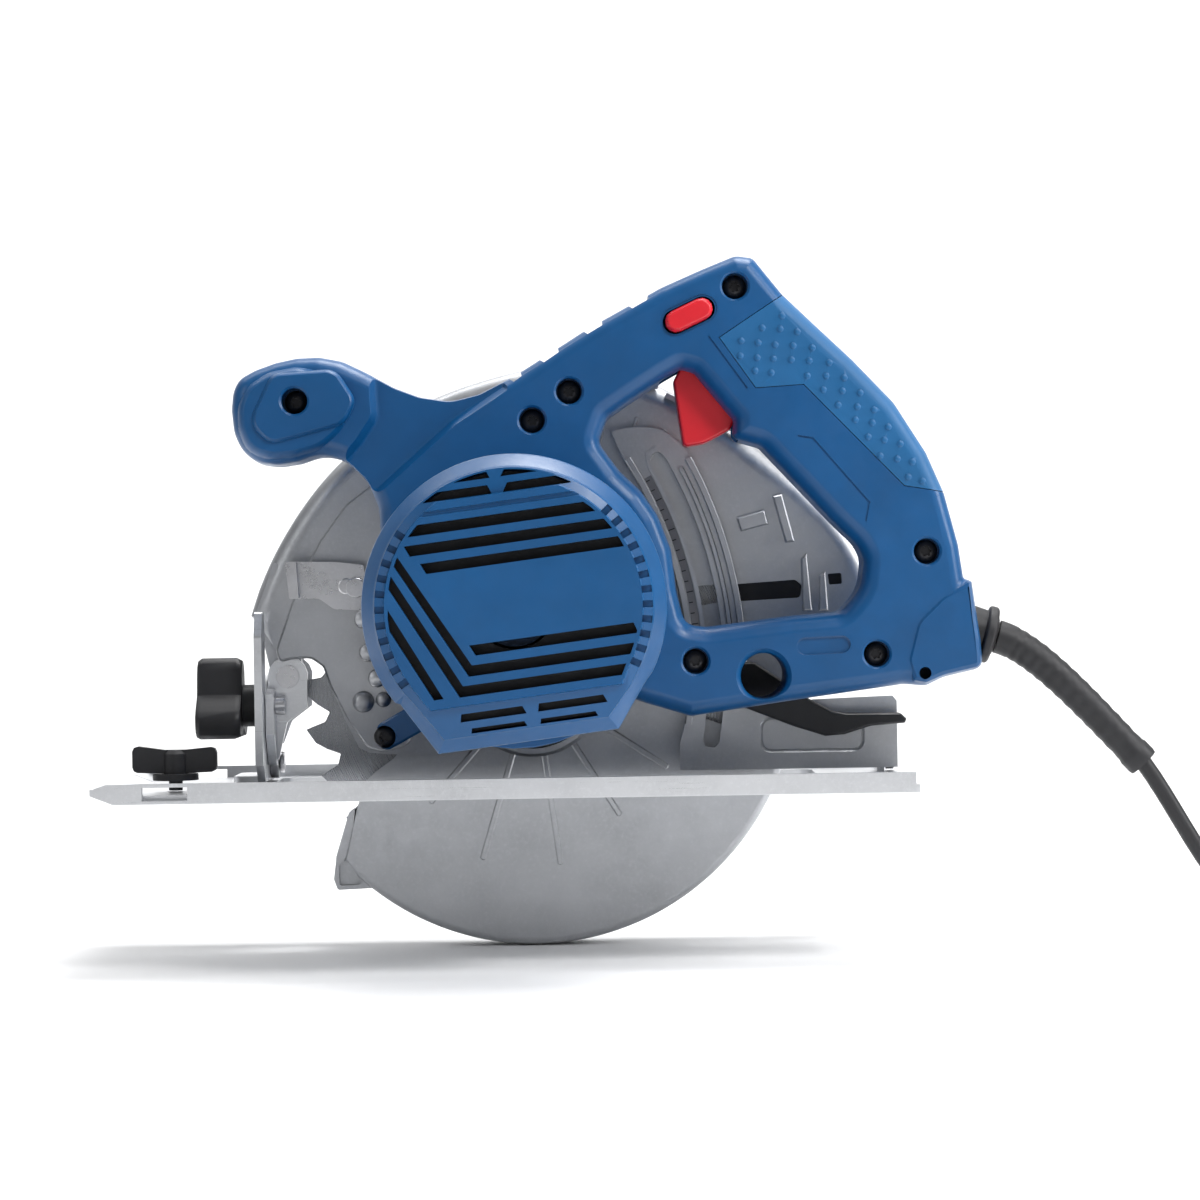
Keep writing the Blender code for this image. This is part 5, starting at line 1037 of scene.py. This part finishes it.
def build_lower_guard():
    a1, n, r = 338.0, 110, 103.0

    def sector(r_out):
        return arc(0, 0, r_out, 215.6, a1, n) + [(24.0, -4.0), (22.0, 8.0), (-14.0, 20.0), (-26.0, 6.0), (-58.3, -22.0), (-66.0, -26.2), (-70.0, -29.0), (-75.0, -38.6)]

    rings = [(sector(r - 3.0), 32.4)]
    for i in range(1, 6):
        a = math.radians(90.0 * i / 5)
        rings.append((sector(r - 3.0 + 3.0 * math.sin(a)), 32.4 + 3.0 * (1 - math.cos(a))))
    rings += [(sector(r), 54.6), (sector(r - 0.9), 56.5), (sector(r - 3.0), 57.4)]
    obj = loft("lower_guard_fine", rings, HEAD)
    inner = arc(0, 0, r - 1.9, 186.0, a1 + 12, n) + [(60.0, 40.0), (-60.0, 40.0)]
    inner_small = arc(0, 0, r - 4.4, 186.0, a1 + 12, n) + [(60.0, 40.0), (-60.0, 40.0)]
    cut(obj, loft("guard_hollow", [(inner_small, 34.2), (inner, 36.6), (inner, 53.6), (inner_small, 55.6)], HEAD))
    cut(obj, prism("guard_open_side", arc(0, 0, r - 26.0, 184.0, a1 + 14, n) + [(60.0, 60.0), (-60.0, 60.0)], 55.0, 62.0, HEAD))
    cut(obj, cylinder("guard_bore", (0, 0), 21.6, 28.0, 35.0, HEAD, n=80))
    add(obj, lathe("guard_hub", [(21.6, 32.4), (22.1, 32.0), (25.5, 32.0), (26.0, 32.4), (26.0, 36.4), (21.6, 36.4)], (0, 0), HEAD, n=80))
    for i, a in enumerate((221.5, 246.0, 270.5, 295.0, 319.5)):
        add(obj, radial("guard_rib_%d" % i, a, 27.0, 72.0 if i in (1, 2) else 62.0, 1.5, 31.9, 32.6))
    # turned-in front edge with its toe
    toe = fillet([(-84.0, -56.0), (-86.3, -57.3), (-88.6, -66.0), (-87.6, -70.4), (-76.0, -71.4), (-70.0, -72.0), (-74.0, -66.0)], 1.2, 4)
    add(obj, prism("guard_toe", toe, 36.0, 54.0, HEAD))
    add(obj, prism("guard_flange", fillet([(-76.0, -38.8), (-78.9, -40.8), (-86.3, -57.3), (-86.6, -59.0), (-81.0, -58.0)], 0.6, 3), 33.6, 43.0, HEAD))
    cut(obj, prism("toe_pocket", fillet([(-81.8, -58.6), (-86.0, -61.0), (-86.6, -68.8), (-77.6, -69.6)], 1.0, 3), 30.0, 38.4, HEAD))
    tidy(obj, 0.4)
    soften(obj, 0.3, 2, 30.0, 34.0)
    return dress(obj, "cast_aluminium", "lower_guard", ["lower_guard"])


build_lower_guard()


def spline(points, n=5):
    """Smooth curve through the points."""
    out = []
    last = len(points) - 1
    for i in range(last):
        p0, p1, p2, p3 = points[max(i - 1, 0)], points[i], points[i + 1], points[min(i + 2, last)]
        for k in range(n):
            t = k / n
            out.append(tuple(0.5 * (2 * b + (c - a) * t + (2 * a - 5 * b + 4 * c - d) * t * t + (3 * b - a - 3 * c + d) * t ** 3) for a, b, c, d in zip(p0, p1, p2, p3)))
    return out + [tuple(points[-1])]


def guard_outline(extra=0.0):
    pts = [(-106.2, 41.0), (-100.5, 52.5), (-91.5, 66.5), (-79.0, 81.5), (-64.0, 95.0), (-46.0, 106.0), (-26.0, 114.5), (-4.0, 119.5), (20.0, 121.5), (44.0, 117.8), (66.0, 107.0), (84.0, 93.0), (102.0, 76.0), (118.0, 58.5), (130.0, 42.0), (137.0, 25.0), (139.0, 8.0)]
    out = []
    for u, v in pts:
        r = math.hypot(u, v)
        out.append((u * (r - extra) / r, v * (r - extra) / r))
    return spline(out, 6)


PIVOT_X, PIVOT_Z = -87.0, 44.0


def ridge(name, pts, y0, y1, lean=0.5):
    """A raised bar of the casting with drafted sides."""
    return loft(name, [(inset(pts, lean), y0), (pts, y0 + 0.5), (inset(pts, -0.25), y1)], HEAD)


def build_upper_guard():
    lower = [(138.0, -9.0), (110.0, -13.0), (66.0, -18.0), (40.0, -23.0), (-40.0, -23.0), (-60.0, -20.0), (-67.0, -18.5), (-71.0, -16.0), (-74.3, -6.0), (-78.3, 8.0), (-80.2, 17.0), (-84.0, 22.5), (-90.0, 24.6), (-95.0, 25.5), (-98.5, 27.5)]
    rings = []
    for i in range(8):
        a = math.radians(90.0 * i / 7)
        rings.append((guard_outline(8.0 * (1 - math.sin(a))) + lower, 28.0 + 7.0 * (1 - math.cos(a))))
    rings += [(guard_outline() + lower, 59.4), (guard_outline(0.9) + lower, 60.4)]
    obj = loft("upper_guard_fine", rings, HEAD)
    low_in = [(140.0, -60.0), (66.0, -60.0), (-40.0, -60.0), (-110.0, -60.0), (-122.0, 0.0), (-122.0, 30.0)]
    room = []
    for i in range(5):
        a = math.radians(90.0 * i / 4)
        room.append((guard_outline(3.0 + 7.2 * (1 - math.sin(a))) + low_in, 31.0 + 5.0 * (1 - math.cos(a))))
    room.append((guard_outline(3.0) + low_in, 58.4))
    cut(obj, loft("guard_room", room, HEAD))
    rim = [(u * 0.80, v * 0.80) for u, v in guard_outline()]
    cut(obj, prism("far_opening", [(-150.0, rim[0][1])] + rim + [(112.0, -60.0), (-150.0, -60.0)], 57.9, 70.0, HEAD))
    pu, pv = world_to_head(PIVOT_X, PIVOT_Z)
    lug = arc(pu, pv, 6.4, 180, 360, 16) + [(pu + 5.0, pv + 12.0), (-93.0, 44.0), (-86.5, 56.0), (-94.0, 60.5), (-104.6, 43.0), (-103.6, 38.0)]
    add(obj, prism("pivot_lug", lug, 35.2, 41.4, HEAD))
    add(obj, prism("lug_step", [(-103.8, 41.5), (-94.5, 41.5), (-86.0, 55.0), (-94.0, 60.5)], 29.5, 41.0, HEAD))
    cut(obj, cylinder("pivot_bore", (pu, pv), 3.2, 33.0, 45.0, HEAD, n=32), cylinder("nose_way", (0, 0), 21.4, 20.0, 34.0, HEAD, n=80))
    # flat machined face of the gear case, standing proud of the drum
    face = [(-44.0, 87.5, 3), (-49.2, 86.0, 8), (-62.4, 78.7), (-74.3, 66.3), (-84.3, 52.5), (-91.3, 38.4), (-97.4, 26.2, 3), (-97.0, 21.8, 2), (-92.7, 22.4, 4), (-84.6, 21.8, 5), (-80.1, 17.6, 3), (-78.3, 9.2), (-74.0, -3.5), (-67.7, -16.0, 5), (-62.0, -18.6, 5), (-51.9, -17.4, 4), (-42.0, -2.0), (-40.0, 60.0)]
    add(obj, loft("case_face", [(shrunk(face, 0.5, 4), 25.9), (shrunk(face, 0.0, 4), 26.4), (shrunk(face, -0.5, 4), 28.6)], HEAD))
    for i, (pts, top) in enumerate((
        ([(87.8, 52.3), (98.7, 53.8), (99.3, 48.3), (88.6, 47.0)], 25.8),
        ([(102.8, 58.7), (106.3, 59.0), (108.6, 40.3), (105.3, 40.2)], 25.2),
        ([(110.4, 32.9), (112.6, 34.6), (111.7, 12.6), (108.3, 13.0)], 25.2),
        ([(116.6, 25.4), (118.9, 26.9), (117.9, 11.7), (114.6, 12.1)], 25.2),
    )):
        add(obj, ridge("ridge_%d" % i, pts[::-1], top, 28.8))
    windows = [
        prism("window_a", fillet([(80.4, 27.0, 0.6), (107.0, 25.3, 2), (109.2, 22.9, 1.5), (108.0, 18.1, 1.5), (79.2, 20.4, 0.6)], 1.0, 5), 24.0, 33.0, HEAD),
        prism("window_b", fillet([(67.6, 28.3), (77.6, 27.6), (76.6, 20.8), (67.6, 20.3)], 0.6, 3), 24.0, 33.0, HEAD),
        prism("window_c", fillet([(119.8, 25.8), (125.2, 25.4), (124.9, 21.2), (119.8, 21.5)], 0.5, 3), 24.0, 33.0, HEAD),
    ]
    cut(obj, merge("guard_windows", windows))
    # steps of the casting round the chip outlet
    steps = [
        prism("step_a", [(49.7, 108.8), (49.7, 107.2), (64.0, 106.6), (64.9, 108.2)], 26.9, 30.5, HEAD),
        prism("step_b", [(67.4, 104.6), (66.3, 103.1), (96.0, 82.2), (97.2, 83.6)], 26.9, 30.5, HEAD),
    ]
    add(obj, steps[0], steps[1])
    for a in (66.5, 60.5, 54.5):
        add(obj, radial("fin", a, 96.0, 111.0, 1.1, 27.2, 30.0))
    tidy(obj, 0.4)
    soften(obj, 0.3, 2, 30.0, 34.0)
    # black plate behind windows a and c: painted shade standing in for the dark inside of the guard
    painted_shade_plate = merge("guard_painted_shade", [
        prism("painted_shade_a", [(76.0, 30.2), (112.0, 28.6), (112.0, 15.6), (76.0, 17.2)], 30.9, 31.3, HEAD),
        prism("painted_shade_c", [(118.0, 27.4), (126.4, 27.0), (126.0, 19.8), (118.0, 20.0)], 30.9, 31.3, HEAD),
    ])
    soften(painted_shade_plate, 0.0)
    dress(painted_shade_plate, "black_plastic", "head")
    return dress(obj, "cast_aluminium", "head", ["upper_guard"])


def polar(r, a):
    return (PIVOT_X + r * math.cos(math.radians(a)), PIVOT_Z + r * math.sin(math.radians(a)))


def bow(name, r0, r1, a0, a1, y0, y1, n=40, lean=0.35):
    """Curved rib about the depth pivot, with drafted sides; y0 is its top."""
    def band_(d):
        outer = [polar(r1 - d, a0 + (a1 - a0) * i / n) for i in range(n + 1)]
        inner = [polar(r0 + d, a1 + (a0 - a1) * i / n) for i in range(n + 1)]
        return outer + inner
    return loft(name, [(band_(lean), y0), (band_(0.0), y0 + 0.4), (band_(0.0), y1)], WORLD)


def build_depth_arm():
    s = 167.5
    outline = (
        [(150.6, 5.2), (150.6, 31.0), (149.0, 33.0), (100.0, 31.4), (91.5, 28.6)]
        + [polar(s + 12.0, -4.0 + 32.0 * i / 40) for i in range(41)]
        + spline([polar(s + 12.0, 28.0), polar(s + 8.0, 32.2), polar(s - 2.0, 35.0), polar(s - 9.0, 36.0)], 4)[1:]
        + [polar(s - 11.0, 32.0 - 40.0 * i / 46) for i in range(47)]
        + [(66.0, 16.0), (66.0, 5.2)]
    )
    obj = prism("depth_arm_fine", outline, 21.5, 24.5, WORLD)
    # ribs down both edges and round the slot
    add(obj, bow("rib_a", s - 11.0, s - 8.4, -7.6, 31.6, 19.2, 22.0))
    add(obj, bow("rib_b", s + 9.4, s + 12.0, -3.6, 27.6, 19.2, 22.0))
    add(obj, bow("rib_c", s + 5.4, s + 7.4, -4.6, 27.0, 19.8, 22.0))
    flange = [(22.0, 5.2), (38.2, 5.2)] + arc(45.0, 10.0, 6.5, 215.0, 360.0, 16) + [(51.5, 16.0), (42.0, 24.0), (36.0, 31.0), (22.0, 31.0)]
    add(obj, prism("rear_flange", flange, 147.6, 150.6, WORLD, axis="X"))
    lip_outer = [polar(s + 4.8, -6.0 + 35.0 * i / 40) for i in range(41)] + [polar(s + 2.6, 31.0), polar(s - 2.6, 31.0)] + [polar(s - 4.8, 29.0 - 35.0 * i / 40) for i in range(41)]
    add(obj, prism("slot_lip", lip_outer, 20.6, 22.0, WORLD))
    slot_outline = (
        [polar(s + 3.2, -9.5 + 38.5 * i / 40) for i in range(41)]
        + spline([polar(s + 3.2, 29.0), polar(s + 1.9, 30.2), polar(s - 1.9, 30.2), polar(s - 3.2, 29.0)], 4)[1:-1]
        + [polar(s - 3.2, 29.0 - 38.5 * i / 40) for i in range(41)]
        + [polar(s - 1.8, -10.3), polar(s + 1.8, -10.3)]
    )
    cut(obj, prism("arm_slot", slot_outline, 15.0, 35.0, WORLD))
    # pressed panels in the rear plate
    for x0, x1 in ((97.0, 138.0),):
        cut(obj, loft("panel", [(fillet([(x0, 11.4), (x1, 11.4), (x1, 25.6), (x0, 25.6)], 4.5, 8), 15.0), (fillet([(x0, 11.4), (x1, 11.4), (x1, 25.6), (x0, 25.6)], 4.5, 8), 21.4), (fillet([(x0 + 0.9, 12.3), (x1 - 0.9, 12.3), (x1 - 0.9, 24.7), (x0 + 0.9, 24.7)], 3.6, 8), 22.4)], WORLD))
    add(obj, loft("panel_back", [(fillet([(98.4, 12.8), (136.6, 12.8), (136.6, 24.2), (98.4, 24.2)], 3.2, 8), 22.0), (fillet([(98.0, 12.4), (137.0, 12.4), (137.0, 24.6), (98.0, 24.6)], 3.4, 8), 22.6)], WORLD))
    cut(obj, cylinder("rear_bore", (45.0, 10.0), 2.8, 143.0, 155.0, WORLD, "X", n=32))
    tidy(obj, 0.4)
    soften(obj, 0.25, 2, 30.0, 34.0)
    dress(obj, "cast_aluminium", "bevel_carriage", ["depth_arm"])
    # depth scale: a thin printed strip with plain ticks, behind the slot
    strip = bow("depth_scale", s - 8.1, s - 5.1, 0.0, 28.0, 21.1, 21.6, lean=0.05)
    soften(strip, 0.0)
    dress(strip, "grey_plastic", "bevel_carriage")
    ticks = []
    for i in range(18):
        a = 2.0 + 1.5 * i
        r1 = s - 5.5 if i % 3 == 0 else s - 6.4
        p = [polar(s - 8.0, a - 0.07), polar(r1, a - 0.07), polar(r1, a + 0.07), polar(s - 8.0, a + 0.07)]
        ticks.append(prism("tick", p, 21.02, 21.2, WORLD))
    t = merge("depth_scale_ticks", ticks)
    soften(t, 0.0)
    dress(t, "black_plastic", "bevel_carriage")
    return obj


def build_lock_tab():
    """Stamped tab of the spindle lock with its end turned towards the hand."""
    shape = [(-86.6, 59.6, 1), (-69.0, 57.0, 3), (-58.8, 54.4, 1), (-58.8, 37.0, 1), (-64.0, 37.4, 3), (-72.5, 38.9, 4), (-77.8, 43.9, 4), (-86.6, 45.0, 1)]
    obj = prism("spindle_lock_lever_fine", fillet(shape, 1.0, 5), 19.5, 22.0, HEAD)
    end = fillet([(-88.6, 59.8), (-84.4, 59.2), (-85.2, 44.8), (-88.9, 45.2)], 0.7, 4)
    add(obj, prism("lock_end", end, 15.6, 21.6, HEAD))
    add(obj, loft("lock_dimple", [(circle(-66.5, 47.0, 2.6, 32), 18.9), (circle(-66.5, 47.0, 3.2, 32), 19.2), (circle(-66.5, 47.0, 3.4, 32), 20.5)], HEAD))
    tidy(obj, 0.4)
    soften(obj, 0.35, 3, 30.0, 34.0)
    return dress(obj, "plated_steel", "spindle_lock_lever", ["spindle_lock_lever"])


def build_case_screw():
    """Short arm of the motor housing with the screw that holds it to the gear case."""
    arm = fillet([(-63.6, -14.0, 4), (-58.0, -17.6, 4), (-36.0, -9.0), (-36.0, 2.0), (-50.0, -3.0), (-60.0, -7.0, 4)], 2.0, 5)
    obj = loft("case_arm", [(shrunk(arm, 0.8, 4), -9.0), (shrunk(arm, 0.0, 4), -8.0), (shrunk(arm, 0.0, 4), 25.6)], HEAD)
    cut(obj, cylinder("arm_recess", (-58.4, -12.2), 4.4, -20.0, -4.0, HEAD, n=40))
    tidy(obj, 0.4)
    soften(obj, 0.4, 2, 30.0, 34.0)
    dress(obj, "blue_plastic", "head")
    u, v, y0 = -58.4, -12.2, -6.4
    screw = lathe("case_screw", [(0, y0 - 1.9), (2.4, y0 - 1.8), (3.5, y0 - 1.2), (4.1, y0 - 0.2), (4.1, y0 + 2.6), (0, y0 + 2.6)], (u, v), HEAD, n=40)
    star = [(u + (1.7 + 0.36 * math.cos(6 * 2 * math.pi * k / 36)) * math.cos(2 * math.pi * k / 36), v + (1.7 + 0.36 * math.cos(6 * 2 * math.pi * k / 36)) * math.sin(2 * math.pi * k / 36)) for k in range(36)]
    cut(screw, prism("star", star, y0 - 5.0, y0 + 0.2, HEAD))
    soften(screw, 0.0)
    dress(screw, "black_steel", "head")


def build_gear_case():
    outline = arc(0.0, MOTOR_V, 58.0, -20.0, 200.0, 90) + arc(0.0, 0.0, 28.4, 215.0, 325.0, 36)
    obj = loft("gear_housing_fine", [(shrunk(outline, 1.2, 1, 0.0), 5.8), (shrunk(outline, 0.0, 1, 0.0), 7.0), (shrunk(outline, 0.0, 1, 0.0), 27.7)], HEAD)
    add(obj, cylinder("register", (0, MOTOR_V), 50.4, 2.4, 8.0, HEAD, n=96), cylinder("nose", (0, 0), 21.0, 20.0, 36.6, HEAD, n=96))
    for i, (u, v, r, y) in enumerate(((-60.6, 33.4, 3.6, -3.0), (-60.4, 20.6, 3.6, -3.0), (-58.4, 10.4, 3.6, -3.0), (-66.6, 1.6, 4.2, 22.6), (-58.8, 1.4, 3.0, 22.6))):
        dome = [(0, y), (r * 0.5, y + 0.25), (r * 0.82, y + 0.9), (r, y + 2.2), (r, 12.2 if y < 0 else 26.6), (0, 12.2 if y < 0 else 26.6)]
        add(obj, lathe("boss_%d" % i, dome, (u, v), HEAD, n=32)) if y < 0 else dress(soften(lathe("case_boss_%d" % i, dome, (u, v), HEAD, n=32), 0.0), "cast_aluminium", "head")
    cut(obj, prism("gear_room", slot(0.0, 0.0, 0.01, MOTOR_V, 25.2, 40), -2.0, 19.0, HEAD), cylinder("bore_a", (0, 0), 15.2, 18.0, 28.6, HEAD, n=64), cylinder("bore_b", (0, 0), 9.0, 28.0, 40.0, HEAD, n=64))
    tidy(obj, 0.4)
    soften(obj, 0.3, 2, 30.0, 34.0)
    dress(obj, "cast_aluminium", "head", ["gear_housing"])


build_upper_guard()
build_depth_arm()
build_lock_tab()
build_case_screw()
build_gear_case()

# ==================================================================================================
# Everything else: the CAD shapes with their edges rounded
# ==================================================================================================
MAT_FOR = {}
for node in list(NODES):
    if not NODES[node].hide_render:
        refine(node, mat=MAT_FOR.get(node))
